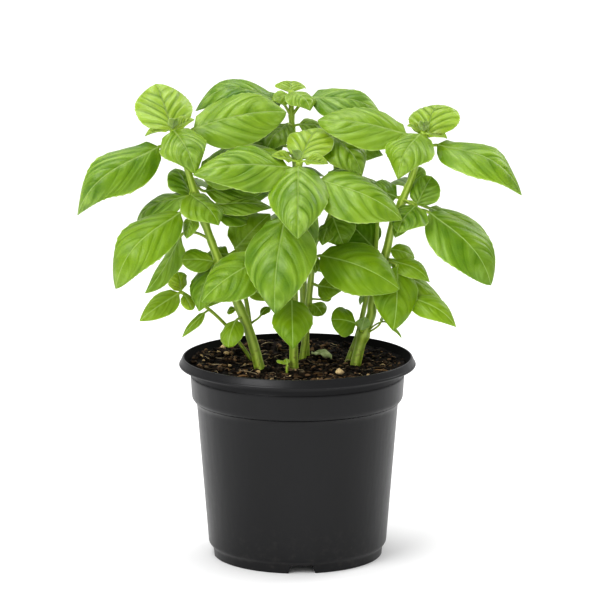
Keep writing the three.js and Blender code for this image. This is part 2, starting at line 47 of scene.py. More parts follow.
CAMERA_PLACE = (0.0014, -1.878, 0.510)
CAMERA_DIP = 11.07
LENS = 209.0
LAMPS = dict(
    key_lamp=dict(place=(-1.0, -1.1, 1.25), size=1.2, power=17.0),
    top_lamp=dict(place=(-0.2, 0.2, 1.7), size=0.9, power=9.0),
    back_lamp=dict(place=(0.9, 0.7, 1.0), size=0.7, power=5.0),
    front_board=dict(place=(0.2, -1.7, 0.4), size=1.0, power=4.0, mirrored=False),
)
LAMPS_AIM = (0, 0, 0.14)
SURROUNDINGS = dict(light=0.72, seen=1.05)
FLOOR_SIZE = 2.3


def linear(hex_colour):
    """An sRGB hex colour as linear red, green, blue and alpha."""
    parts = np.array([int(hex_colour[k:k + 2], 16) for k in (1, 3, 5)]) / 255
    bright = ((parts + 0.055) / 1.055) ** 2.4
    return (*np.where(parts <= 0.04045, parts / 12.92, bright), 1.0)


def add_node(tree, kind, inputs=None, **settings):
    """Adds a shader node with its settings. Each input is a value, or another node's output to link to."""
    node = tree.nodes.new("ShaderNode" + kind)
    for setting, value in settings.items():
        setattr(node, setting, value)
    for socket, value in (inputs or {}).items():
        if isinstance(value, bpy.types.NodeSocket):
            tree.links.new(value, node.inputs[socket])
        else:
            node.inputs[socket].default_value = value
    return node


def new_material(name, finish):
    """A material with its node tree and its Principled shader, which gets the values of the finish."""
    material = bpy.data.materials.new(name)
    material.use_nodes = True
    shader = material.node_tree.nodes["Principled BSDF"]
    for socket, value in finish.items():
        shader.inputs[socket].default_value = value
    return material, material.node_tree, shader


def add_lamp(name, place, size, power, mirrored=True):
    """A round soft lamp, or a board that throws light back, turned to the middle of the plant."""
    lamp = bpy.data.lights.new(name, "AREA")
    lamp.shape = "DISK"
    lamp.size = size
    lamp.energy = power
    holder = bpy.data.objects.new(name, lamp)
    holder.location = place
    holder.visible_glossy = mirrored
    towards = Vector(LAMPS_AIM) - holder.location
    holder.rotation_euler = towards.to_track_quat("-Z", "Y").to_euler()
    bpy.context.scene.collection.objects.link(holder)


camera = bpy.data.objects.new("camera", bpy.data.cameras.new("camera"))
camera.data.lens = LENS
camera.data.clip_end = 100
camera.location = CAMERA_PLACE
camera.rotation_euler = (radians(90 - CAMERA_DIP), 0, 0)
bpy.context.scene.collection.objects.link(camera)
bpy.context.scene.camera = camera
bpy.context.scene.view_settings.view_transform = "Standard"
bpy.context.scene.view_settings.look = "Medium High Contrast"

for lamp_name, lamp_values in LAMPS.items():
    add_lamp(lamp_name, **lamp_values)
world = bpy.data.worlds.new("white surroundings")
world.use_nodes = True
white = world.node_tree.nodes["Background"]
white.inputs["Color"].default_value = (1, 1, 1, 1)
seen = add_node(world.node_tree, "LightPath").outputs["Is Camera Ray"]
strength = add_node(world.node_tree, "MapRange", {
    "Value": seen, "To Min": SURROUNDINGS["light"], "To Max": SURROUNDINGS["seen"],
})
world.node_tree.links.new(strength.outputs[0], white.inputs["Strength"])
bpy.context.scene.world = world

# Backdrop paper is uncoated, so it is matt and nearly without a shine. It ends behind the plant, where white
# meets white and no edge shows.
paper, _, _ = new_material(
    "white backdrop paper", {"Base Color": linear("#F4F4F4"), "Roughness": 0.9, "Specular IOR Level": 0.1},
)
floor_mesh = bpy.data.meshes.new("floor")
edge = FLOOR_SIZE / 2
floor_corners = [(-edge, -edge, 0), (edge, -edge, 0), (edge, edge, 0), (-edge, edge, 0)]
floor_mesh.from_pydata(floor_corners, [], [(0, 1, 2, 3)])
floor = bpy.data.objects.new("floor", floor_mesh)
floor_mesh.materials.append(paper)
bpy.context.scene.collection.objects.link(floor)


# The pot: a 13 cm nursery pot of black polypropylene, injection moulded in one piece with a thin wall. It
# stands loose on its foot. It is one outline carried round its axis, with rounded corners, four notches in
# its foot and eight drain holes in its floor.

MM = 0.001
POT_COLUMNS = 480
# The corners of the outline, as radius, height and reach of the rounding: along the floor from below, up the
# outside, over the lip, down inside and back along the floor.
POT_OUTLINE = [
    (0, 5, 0), (44.4, 5, 0.3), (44.9, 0, 0.3), (46.9, 0, 0.3), (47.3, 4.6, 0.8), (49.3, 7, 1),
    (55.6, 85.6, 2), (58.2, 88.6, 1.4), (59, 100.7, 0.5), (58.6, 101.9, 0.5), (58.2, 104.4, 0.8),
    (59.2, 106.1, 0.5), (61, 106.6, 0.5), (65, 106.4, 0.2), (65.3, 107, 0.2), (65.0, 107.7, 0.2),
    (64.7, 108, 0.3), (63.4, 110.9, 0.4), (63.1, 111.2, 0.2), (62.4, 111.2, 0.2), (61.9, 110.4, 0.5),
    (59.6, 107.4, 0.8), (57, 105.4, 0.8), (56.8, 89.8, 1), (54.2, 85.9, 1), (47.9, 6.6, 0.8), (0, 6.6, 0),
]
# The radii of the foot's ring, the notches in it, and the holes: they lie on a circle round the axis, and
# each is cut from a height below the floor to one above it.
FOOT = dict(inner=44.3, middle=45.9, outer=47.4)
NOTCHES = dict(count=4, turn=radians(-87), height=4.6, half_width=7.1, slant=1.35)
DRAIN_HOLES = dict(count=8, radius=4.0, circle=36.0, sides=48, below=3.0, above=9.0)


def rounded(corners, steps=6):
    """An outline with its corners rounded. Each corner gives way to a curve that leaves one side at a reach
    before it and joins the next side at the same reach after it: (1-s)^2 P + 2s(1-s) corner + s^2 Q. The
    reach is at most 0.45 of the shorter side. A guard point up to 0.8 mm further on either side keeps what
    is flat from being shaded round."""
    corners = np.array(corners, float)
    outline, reaches = corners[:, :2], corners[:, 2]
    share = np.linspace(0, 1, steps)[:, None]
    points = [outline[:1]]
    for k in range(1, len(outline) - 1):
        before = outline[k - 1] - outline[k]
        after = outline[k + 1] - outline[k]
        lengths = np.linalg.norm(before), np.linalg.norm(after)
        reach = min(reaches[k], 0.45 * min(lengths))
        first = outline[k] + before / lengths[0] * reach
        last = outline[k] + after / lengths[1] * reach
        curve = (1 - share) ** 2 * first + 2 * share * (1 - share) * outline[k] + share**2 * last
        guard = min(0.8, 0.2 * min(lengths))
        points += [
            first[None] + before / lengths[0] * guard, curve, last[None] + after / lengths[1] * guard,
        ]
    points.append(outline[-1:])
    return np.concatenate(points)


def skin_faces(rows, columns):
    """The faces of a skin through closed loops of points, one loop after the other: a band from each loop
    to the next, and at each end a strip between the loop's two halves."""
    k = np.arange(columns)
    start = np.arange(rows - 1)[:, None] * columns
    following = (k + 1) % columns
    corners = [start + k, start + following, start + following + columns, start + k + columns]
    bands = np.stack(np.broadcast_arrays(*corners), -1).reshape(-1, 4)
    half_loop = np.arange(columns // 2 - 1)
    cap = np.stack([half_loop, columns - 1 - half_loop, columns - 2 - half_loop, half_loop + 1], -1)
    return np.concatenate([bands, cap, cap[:, ::-1] + (rows - 1) * columns])


def make_piece(name, points, faces, materials, slots=None, marks=None):
    """A smooth mesh piece, in metres from points in millimetres. Slots give each face its material, and
    marks are named numbers for each point, which the materials read."""
    mesh = bpy.data.meshes.new(name)
    mesh.vertices.add(len(points))
    mesh.vertices.foreach_set("co", (np.asarray(points) * MM).ravel())
    mesh.loops.add(faces.size)
    mesh.loops.foreach_set("vertex_index", faces.ravel())
    mesh.polygons.add(len(faces))
    mesh.polygons.foreach_set("loop_start", np.arange(0, faces.size, faces.shape[1]))
    for material in materials:
        mesh.materials.append(material)
    if slots is not None:
        mesh.polygons.foreach_set("material_index", slots)
    for mark, values in (marks or {}).items():
        mesh.attributes.new(mark, "FLOAT", "POINT").data.foreach_set("value", values)
    mesh.update(calc_edges=True)
    mesh.validate()
    mesh.shade_smooth()
    piece = bpy.data.objects.new(name, mesh)
    bpy.context.scene.collection.objects.link(piece)
    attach(piece, "root")
    return piece


def pot_points():
    """The outline (r, z) carried round: x = r cos a, y = r sin a. Inside a notch the foot's points rise to
    the notch's height, which falls to nothing over its slanting sides."""
    outline = rounded(POT_OUTLINE)
    angle = 2 * pi * np.arange(POT_COLUMNS) / POT_COLUMNS
    radius, height = (values[:, None] * np.ones(POT_COLUMNS) for values in outline.T)
    apart = 2 * pi / NOTCHES["count"]
    off_notch = (angle - NOTCHES["turn"] + apart / 2) % apart - apart / 2
    inside = NOTCHES["half_width"] - np.abs(off_notch) * FOOT["middle"]
    rise = np.clip(inside / NOTCHES["slant"], 0, 1) * NOTCHES["height"]
    at_foot = (radius > FOOT["inner"]) & (radius < FOOT["outer"])
    height = np.where(at_foot, np.maximum(height, rise), height)
    return np.stack([radius * np.cos(angle), radius * np.sin(angle), height], -1)


def drilled(piece):
    """The piece with its drain holes cut through the floor, by one round cutter for each hole."""
    count, sides = DRAIN_HOLES["count"], DRAIN_HOLES["sides"]
    around = 2 * pi * np.arange(count)[:, None, None] / count
    turn = 2 * pi * np.arange(sides) / sides
    ends = np.array([DRAIN_HOLES["below"], DRAIN_HOLES["above"]])[:, None]
    x = DRAIN_HOLES["circle"] * np.cos(around) + DRAIN_HOLES["radius"] * np.cos(turn)
    y = DRAIN_HOLES["circle"] * np.sin(around) + DRAIN_HOLES["radius"] * np.sin(turn)
    points = np.stack(np.broadcast_arrays(x, y, ends), -1).reshape(-1, 3)
    faces = skin_faces(2, sides) + 2 * sides * np.arange(count)[:, None, None]
    cutter = make_piece("drain_cutter", points, faces.reshape(-1, 4), [])
    cut = piece.modifiers.new("drain holes", "BOOLEAN")
    cut.object = cutter
    cut.operation = "DIFFERENCE"
    shape = bpy.data.meshes.new_from_object(piece.evaluated_get(bpy.context.evaluated_depsgraph_get()))
    piece.modifiers.clear()
    piece.data = shape
    shape.name = piece.name
    bpy.data.objects.remove(cutter)


def scale_of(size):
    """A pattern's scale, in cells to the metre, from the size of its cells in millimetres."""
    return 1 / (size * MM)


# Black polypropylene from a polished mould: charcoal, with a satin skin that shows soft broad reflections,
# a little dust low down and very slight waves left by the cooling plastic. Its real grain is too fine to
# show, so it is drawn about half a millimetre coarse. Inside, over the soil, the plastic is painted darker
# and duller, as painted shade under the lip. Sizes are in millimetres, and the painted shade begins over the
# first and is full from the second.
WAVES, SCUFFS, GRAIN = 14.3, 3.85, 0.556
DUST_TOP, DUST_SHARE = 30, 0.14
SHADE_INSIDE_RADIUS, SHADE_INSIDE_HEIGHT = (62.7, 62.2), (106.6, 107.0)

plastic, tree, shader = new_material("moulded black polypropylene", {"IOR": 1.49})
place = add_node(tree, "TexCoord").outputs["Object"]
height = add_node(tree, "SeparateXYZ", {0: place}).outputs["Z"]
upright = add_node(tree, "Mapping", {"Vector": place, "Scale": (1, 1, 0.25)}).outputs[0]
waves = add_node(tree, "TexNoise", {"Vector": upright, "Scale": scale_of(WAVES), "Detail": 3}).outputs[0]
grain = add_node(tree, "TexNoise", {"Vector": place, "Scale": scale_of(GRAIN), "Detail": 2}).outputs[0]
scuffs = add_node(
    tree, "TexNoise", {"Vector": place, "Scale": scale_of(SCUFFS), "Detail": 6, "Roughness": 0.7},
).outputs[0]
charcoal = {0: waves, 6: linear("#101011"), 7: linear("#161618")}
tint = add_node(tree, "Mix", charcoal, data_type="RGBA").outputs[2]
low = add_node(tree, "MapRange", {"Value": height, "From Min": DUST_TOP * MM, "From Max": 0.0}).outputs[0]
in_scuffs = add_node(tree, "MapRange", {"Value": scuffs, "From Min": 0.5, "From Max": 0.75}).outputs[0]
dust = add_node(tree, "Math", {0: low, 1: in_scuffs}, operation="MULTIPLY").outputs[0]
dust_share = add_node(tree, "Math", {0: dust, 1: DUST_SHARE}, operation="MULTIPLY").outputs[0]
dusted = add_node(tree, "Mix", {0: dust_share, 6: tint, 7: linear("#6A655E")}, data_type="RGBA").outputs[2]
flat_place = add_node(tree, "VectorMath", {0: place, 1: (1, 1, 0)}, operation="MULTIPLY").outputs[0]
from_axis = add_node(tree, "VectorMath", {0: flat_place}, operation="LENGTH").outputs["Value"]
inward = add_node(
    tree, "MapRange", {"Value": from_axis, "From Min": SHADE_INSIDE_RADIUS[0] * MM, "From Max": SHADE_INSIDE_RADIUS[1] * MM},
).outputs[0]
over_soil = add_node(
    tree, "MapRange", {"Value": height, "From Min": SHADE_INSIDE_HEIGHT[0] * MM, "From Max": SHADE_INSIDE_HEIGHT[1] * MM},
).outputs[0]
# Inside the rim, over the soil, the plastic is painted near black: painted shade.
painted_shade_inside = add_node(tree, "Math", {0: inward, 1: over_soil}, operation="MULTIPLY").outputs[0]
with_painted_shade = add_node(tree, "Mix", {0: painted_shade_inside, 6: dusted, 7: linear("#0F0E0D")}, data_type="RGBA").outputs[2]
satin = add_node(tree, "MapRange", {"Value": scuffs, "To Min": 0.28, "To Max": 0.42}).outputs[0]
dulled = add_node(tree, "Mix", {0: painted_shade_inside, 2: satin, 3: 0.75}).outputs[0]
# The shine is turned down there too, as part of the painted shade.
sheen = add_node(tree, "MapRange", {"Value": painted_shade_inside, "To Min": 0.31, "To Max": 0.06}).outputs[0]
rippled = add_node(tree, "Bump", {"Height": waves, "Strength": 0.25, "Distance": 0.0012}).outputs[0]
grained = add_node(
    tree, "Bump", {"Height": grain, "Strength": 0.15, "Distance": 0.0001, "Normal": rippled},
).outputs[0]
tree.links.new(with_painted_shade, shader.inputs["Base Color"])
tree.links.new(dulled, shader.inputs["Roughness"])
tree.links.new(sheen, shader.inputs["Specular IOR Level"])
tree.links.new(grained, shader.inputs["Normal"])

points = pot_points()
pot = make_piece("nursery_pot", points.reshape(-1, 3), skin_faces(len(points), POT_COLUMNS), [plastic])
drilled(pot)
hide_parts("pot")


# The soil: moist peat compost, filled in and levelled a few millimetres under the rim. Its surface is one
# heaved sheet over the filled pot. Crumbs, shreds of bark and root fibres lie loose on it, and crumbs and
# pale grit are sunk to about a third.

# The side, as radius and height from the pot's floor up, and the surface, as rings from the wall inwards.
SOIL_SIDE = [(47.4, 7.0), (53.7, 86.0), (56.3, 90.1), (56.6, 105.9)]
SOIL_LEVEL = 106.3
SOIL_RISE = 2.1
SOIL_RADIUS = 59.5
SOIL_RINGS, SOIL_COLUMNS, LAST_RING = 110, 330, 0.25
EDGE_DIP = 1.5
LIP_SLOPE = dict(inner=56.5, foot=(57, 105.7), rise=0.77)
# Heaps of noise as size and swing, and pits as size, depth and the share of the noise that is a pit.
HEAPS = [(7, 1.9), (3.6, 1.4), (1.8, 0.9), (0.9, 0.5)]
PITS = dict(size=2.6, depth=2.6, share=0.4, seed=21)
# Where the stems stand in the soil: x, y and radius.
STEM_FEET = [
    (-20.5, -13, 3), (-25.2, 6.8, 1.1), (-2, -13, 2.7), (2.6, 6.8, 1.9), (4.5, 24, 2.4), (31.8, -3, 3),
    (27.4, 3.5, 1.5), (-5.7, -21, 0.7),
]
# The larger grains of pumice that the photograph shows: x, y and size.
PALE_GRIT = [
    (-41.7, 35, 1.6), (-39.5, 23.5, 1.9), (-44, 23, 1.2), (-53.5, 13, 1.7), (-37.4, -5, 1.2),
    (-31.5, -10, 1.1), (-29, -2, 1), (-21.5, -21.5, 1.6), (-27.3, -38, 1.3), (-13.8, -42, 1.4),
    (-1, -39, 1.1), (-46, -24.5, 0.9), (22.7, -30.5, 2.4), (38.3, -31.5, 1.1), (46.6, -8.5, 1.5),
    (37.8, 11, 1),
]
# How many loose bits there are of each kind, and how far from the axis they lie.
CRUMBS, SHREDS, FIBRES, SMALL_GRIT = (2200, 58.0), (260, 55.0), (240, 54.0), (34, 55.0)
SOIL_SEED = 13
seeded = np.random.default_rng(SOIL_SEED)


def value_noise(x, y, size, seed):
    """Smooth noise from 0 to 1. Random values lie on a square lattice of the given cell size, and between
    them the noise follows 3f^2 - 2f^3 both ways. The lattice repeats after 256 cells."""
    lattice = np.random.default_rng(seed).random((257, 257))
    column, row = np.floor(x / size).astype(int), np.floor(y / size).astype(int)
    across, up = x / size - column, y / size - row
    across, up = across**2 * (3 - 2 * across), up**2 * (3 - 2 * up)
    column, row = column % 256, row % 256
    here = lattice[row, column] * (1 - across) + lattice[row, column + 1] * across
    above = lattice[row + 1, column] * (1 - across) + lattice[row + 1, column + 1] * across
    return here * (1 - up) + above * up


def soil_lie(x, y):
    """The soil's broad shape: its level with long lumps, 0.8 mm high and some 30 mm apart, which fade out
    where it rises to the wall."""
    at_wall = (np.hypot(x, y) / SOIL_RADIUS) ** 4
    long_lumps = 0.8 * np.sin(0.19 * x + 1.3) * np.sin(0.23 * y + 0.4)
    return SOIL_LEVEL + (1 - at_wall) * long_lumps + SOIL_RISE * at_wall


def soil_height(x, y):
    """The broad shape with four octaves of noise, the finer the lower, and pits where one more noise is
    low. The soil is pressed up by 0.6 mm round each stem's foot, falling off as exp(-d^2)."""
    pitted = np.clip(1 - value_noise(x, y, PITS["size"], PITS["seed"]) / PITS["share"], 0, 1)
    height = soil_lie(x, y) - PITS["depth"] * pitted
    for octave, (size, swing) in enumerate(HEAPS):
        height = height + swing * (value_noise(x, y, size, octave) - 0.5)
    for foot_x, foot_y, radius in STEM_FEET:
        height = height + 0.6 * np.exp(-(((x - foot_x) ** 2 + (y - foot_y) ** 2) / (2.2 * radius + 2) ** 2))
    return height


def soil_points():
    """Rings from the pot's floor up its wall, then inwards over the surface to a small last ring. The
    outermost surface ring dips against the wall, and none goes under the slope inside the lip."""
    angle = 2 * pi * np.arange(SOIL_COLUMNS) / SOIL_COLUMNS
    sides = [[r * np.cos(angle), r * np.sin(angle), np.full_like(angle, z)] for r, z in SOIL_SIDE]
    radius = np.linspace(SOIL_RADIUS, LAST_RING, SOIL_RINGS)[:, None]
    x, y = radius * np.cos(angle), radius * np.sin(angle)
    top = np.stack([x, y, soil_height(x, y)], 1)
    top[0, 2] -= EDGE_DIP
    slope_radius, slope_height = LIP_SLOPE["foot"]
    slope = slope_height + LIP_SLOPE["rise"] * (radius - slope_radius)
    top[:, 2] = np.maximum(top[:, 2], np.where(radius > LIP_SLOPE["inner"], slope, 0))
    return np.concatenate([np.array(sides), top]).transpose(0, 2, 1)


def scattered(count, reach, clear=1.0):
    """Places on the soil, evenly spread by area and clear of the stems: radius is reach times the square
    root of a random number."""
    places = []
    while len(places) < count:
        distance, turn = reach * np.sqrt(seeded.random()), 2 * pi * seeded.random()
        x, y = distance * cos(turn), distance * sin(turn)
        if all(np.hypot(x - foot_x, y - foot_y) > radius + clear for foot_x, foot_y, radius in STEM_FEET):
            places.append((x, y))
    return np.array(places)


def random_sizes(count, least, most, power=1):
    """Sizes from least to most: least + (most - least) r^power, so a high power leaves few large ones."""
    return least + (most - least) * seeded.random(count) ** power


def ball_shape():
    """An octahedron with each face split in four, the middles of its edges pushed out to the unit ball:
    18 points and 32 triangles. Faces in an octant with an odd number of minus signs are turned round."""
    signs = np.array([(x, y, z) for x in (1, -1) for y in (1, -1) for z in (1, -1)])
    first, second, third = (signs[:, k, None] * np.eye(3)[k] for k in range(3))
    early, late, across = (first + second) / 2**0.5, (second + third) / 2**0.5, (third + first) / 2**0.5
    parts = [(first, early, across), (second, late, early), (third, across, late), (early, late, across)]
    corners = np.array(parts).transpose(2, 0, 1, 3)
    inside_out = signs.prod(1) < 0
    corners[inside_out] = corners[inside_out][:, :, ::-1]
    points, faces = np.unique(np.round(corners.reshape(-1, 3), 6), axis=0, return_inverse=True)
    return points, faces.reshape(-1, 3)


def lumps(places, sizes, stretch, sunk):
    """Many uneven lumps as one mesh: the ball's points are pushed in and out by up to a quarter, made 1 to
    1 + stretch times as long and 0.6 to 0.9 times as high, turned, and set on the soil, sunk by a share of
    their size. Each lump's tone is a random number to the fifth, so few are pale."""
    ball, faces = ball_shape()
    count = len(places)
    uneven = 1 + 0.5 * (seeded.random((count, len(ball), 1)) - 0.5)
    shape = ball * uneven * sizes[:, None, None]
    shape[..., 0] *= 1 + stretch * seeded.random((count, 1))
    shape[..., 2] *= 0.6 + 0.3 * seeded.random((count, 1))
    turn = 2 * pi * seeded.random((count, 1))
    x = shape[..., 0] * np.cos(turn) - shape[..., 1] * np.sin(turn) + places[:, :1]
    y = shape[..., 0] * np.sin(turn) + shape[..., 1] * np.cos(turn) + places[:, 1:]
    z = shape[..., 2] + (soil_height(places[:, 0], places[:, 1]) + sizes * (0.6 - sunk))[:, None]
    all_faces = faces + len(ball) * np.arange(count)[:, None, None]
    tone = np.repeat(seeded.random(count) ** 5, len(ball))
    return np.stack([x, y, z], -1).reshape(-1, 3), all_faces.reshape(-1, 3), dict(tone=tone)


def strands(places, lengths, widths, high):
    """Many bent strips as one mesh. A strip's centre runs along a shallow arc over the soil, tilted and
    lifted by up to a tenth of its length. Its section is a six-sided loop, `high` times as high as wide,
    which narrows to both ends by 0.75 s^4."""
    count, rows, sides = len(places), 7, 6
    share = np.linspace(-1, 1, rows)
    turn = 2 * pi * seeded.random((count, 1))
    bend = (seeded.random((count, 1)) - 0.5) * 0.7 * lengths[:, None]
    along, aside = share * lengths[:, None] / 2, bend * share**2
    x = places[:, :1] + along * np.cos(turn) - aside * np.sin(turn)
    y = places[:, 1:] + along * np.sin(turn) + aside * np.cos(turn)
    arch = (seeded.random((count, 1)) * 0.9 + 0.1) * (1 - share**2)
    lift = arch + (seeded.random((count, 1)) - 0.4) * share
    ground = soil_height(places[:, 0], places[:, 1])[:, None] + 0.35
    z = np.maximum(ground, soil_height(x, y)) + 0.15 * widths[:, None] + lift * 0.1 * lengths[:, None]
    angle = 2 * pi * np.arange(sides) / sides
    width = widths[:, None, None] * (1 - 0.75 * share[:, None] ** 4) / 2
    loop_x = x[..., None] - np.sin(turn)[..., None] * width * np.cos(angle)
    loop_y = y[..., None] + np.cos(turn)[..., None] * width * np.cos(angle)
    loop_z = z[..., None] + high * width * np.sin(angle)
    points = np.stack([loop_x, loop_y, loop_z], -1).reshape(-1, 3)
    faces = skin_faces(rows, sides) + rows * sides * np.arange(count)[:, None, None]
    tone = np.repeat(seeded.random(count) ** 3, rows * sides)
    return points, faces.reshape(-1, 4), dict(tone=tone)


def compost(name, dark, light, size, roughness, bump):
    """A crumbly earthen material: two colours mixed by a tone mark and by noise of the given size in
    millimetres, with flecks a third as large for its rough skin. A loose bit's tone is its own; on the soil's
    surface the tone follows the height, as painted shade in the hollows and painted light on the heaps. Where
    the noise is pale it is dry, where it is dark it is moist."""
    material, tree, shader = new_material(name, {"Roughness": roughness, "Specular IOR Level": 0.15})
    place = add_node(tree, "TexCoord").outputs["Object"]
    tone = add_node(tree, "Attribute", attribute_name="tone").outputs["Fac"]
    patches = add_node(tree, "TexNoise", {"Vector": place, "Scale": scale_of(size), "Detail": 5}).outputs[0]
    fine = {"Vector": place, "Scale": scale_of(size / 3), "Detail": 4}
    flecks = add_node(tree, "TexNoise", fine).outputs[0]
    toned = add_node(tree, "Math", {0: patches, 1: tone}, operation="ADD").outputs[0]
    share = add_node(tree, "MapRange", {"Value": toned, "From Min": 0.5, "From Max": 1.15}).outputs[0]
    colour = add_node(tree, "Mix", {0: share, 6: linear(dark), 7: linear(light)}, data_type="RGBA").outputs[2]
    rough = add_node(tree, "Bump", {"Height": flecks, "Strength": bump, "Distance": 0.0006}).outputs[0]
    tree.links.new(colour, shader.inputs["Base Color"])
    tree.links.new(rough, shader.inputs["Normal"])
    return material


def lay_on_soil(name, mesh, material):
    """A piece of loose bits, from their points, faces and marks."""
    points, faces, marks = mesh
    make_piece(name, points, faces, [material], marks=marks)


# Peat compost: nearly black where it is moist and where shade is painted into the soil's hollows, with
# red-brown shreds of bark, tan root fibres and pale, dry grains of pumice. All of it is dull but for a slight
# dampness. The size of the patches is a crumb's in peat and a bit's length in bark and fibre. The pores of
# pumice are finer, and are drawn 1 mm wide to show.
peat = compost("moist peat compost", "#030201", "#2A1E12", size=2.2, roughness=0.8, bump=1.0)
crumb_peat = compost("peat crumbs", "#090503", "#715A42", size=2.5, roughness=0.85, bump=0.8)
bark = compost("composted bark", "#120A06", "#6F5638", size=8.0, roughness=0.75, bump=0.6)
fibre = compost("root fibre", "#1E150D", "#BCAA88", size=6.0, roughness=0.75, bump=0.3)
pumice = compost("pumice grit", "#7E6238", "#E4CC9C", size=1.2, roughness=0.85, bump=0.5)

points = soil_points().reshape(-1, 3)
# The soil's tone rises with its height over the broad shape: painted shade, darker in the hollows and pits,
# and painted light, paler on the heaps.
relief = points[:, 2] - soil_lie(points[:, 0], points[:, 1])
soil = make_piece(
    "soil_surface", points, skin_faces(SOIL_RINGS + len(SOIL_SIDE), SOIL_COLUMNS), [peat],
    marks=dict(tone=np.clip(0.1 + 0.35 * relief, 0, 0.6)),
)
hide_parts("soil")

places = scattered(*CRUMBS)
crumb_sizes = random_sizes(len(places), 0.3, 1.4, power=3.5)
lay_on_soil("soil_crumbs", lumps(places, crumb_sizes, stretch=1.0, sunk=0.3), crumb_peat)

places = scattered(*SHREDS)
shred_lengths = random_sizes(len(places), 1.6, 8.1, power=2.6)
shred_widths = shred_lengths * random_sizes(len(places), 0.2, 0.45)
lay_on_soil("bark_shreds", strands(places, shred_lengths, shred_widths, high=0.45), bark)

places = scattered(*FIBRES)
fibre_lengths = random_sizes(len(places), 3, 12)
fibre_widths = random_sizes(len(places), 0.18, 0.43)
lay_on_soil("root_fibres", strands(places, fibre_lengths, fibre_widths, high=1.0), fibre)

large_grit = np.array(PALE_GRIT)
small_grit = scattered(*SMALL_GRIT)
places = np.concatenate([large_grit[:, :2], small_grit])
grit_sizes = np.concatenate([large_grit[:, 2], random_sizes(len(small_grit), 0.35, 0.95, power=2)])
points, faces, marks = lumps(places, grit_sizes, stretch=0.35, sunk=0.1)
marks["tone"] = 0.25 + 0.5 * marks["tone"]
lay_on_soil("pumice_grit", (points, faces, marks), pumice)


# The basil: seven leafy stems, grown from seed. A stem is squarish and grooved, a little swollen where its
# leaves stand, and each leaf runs in one piece from its stalk into its puckered, downward curling blade.

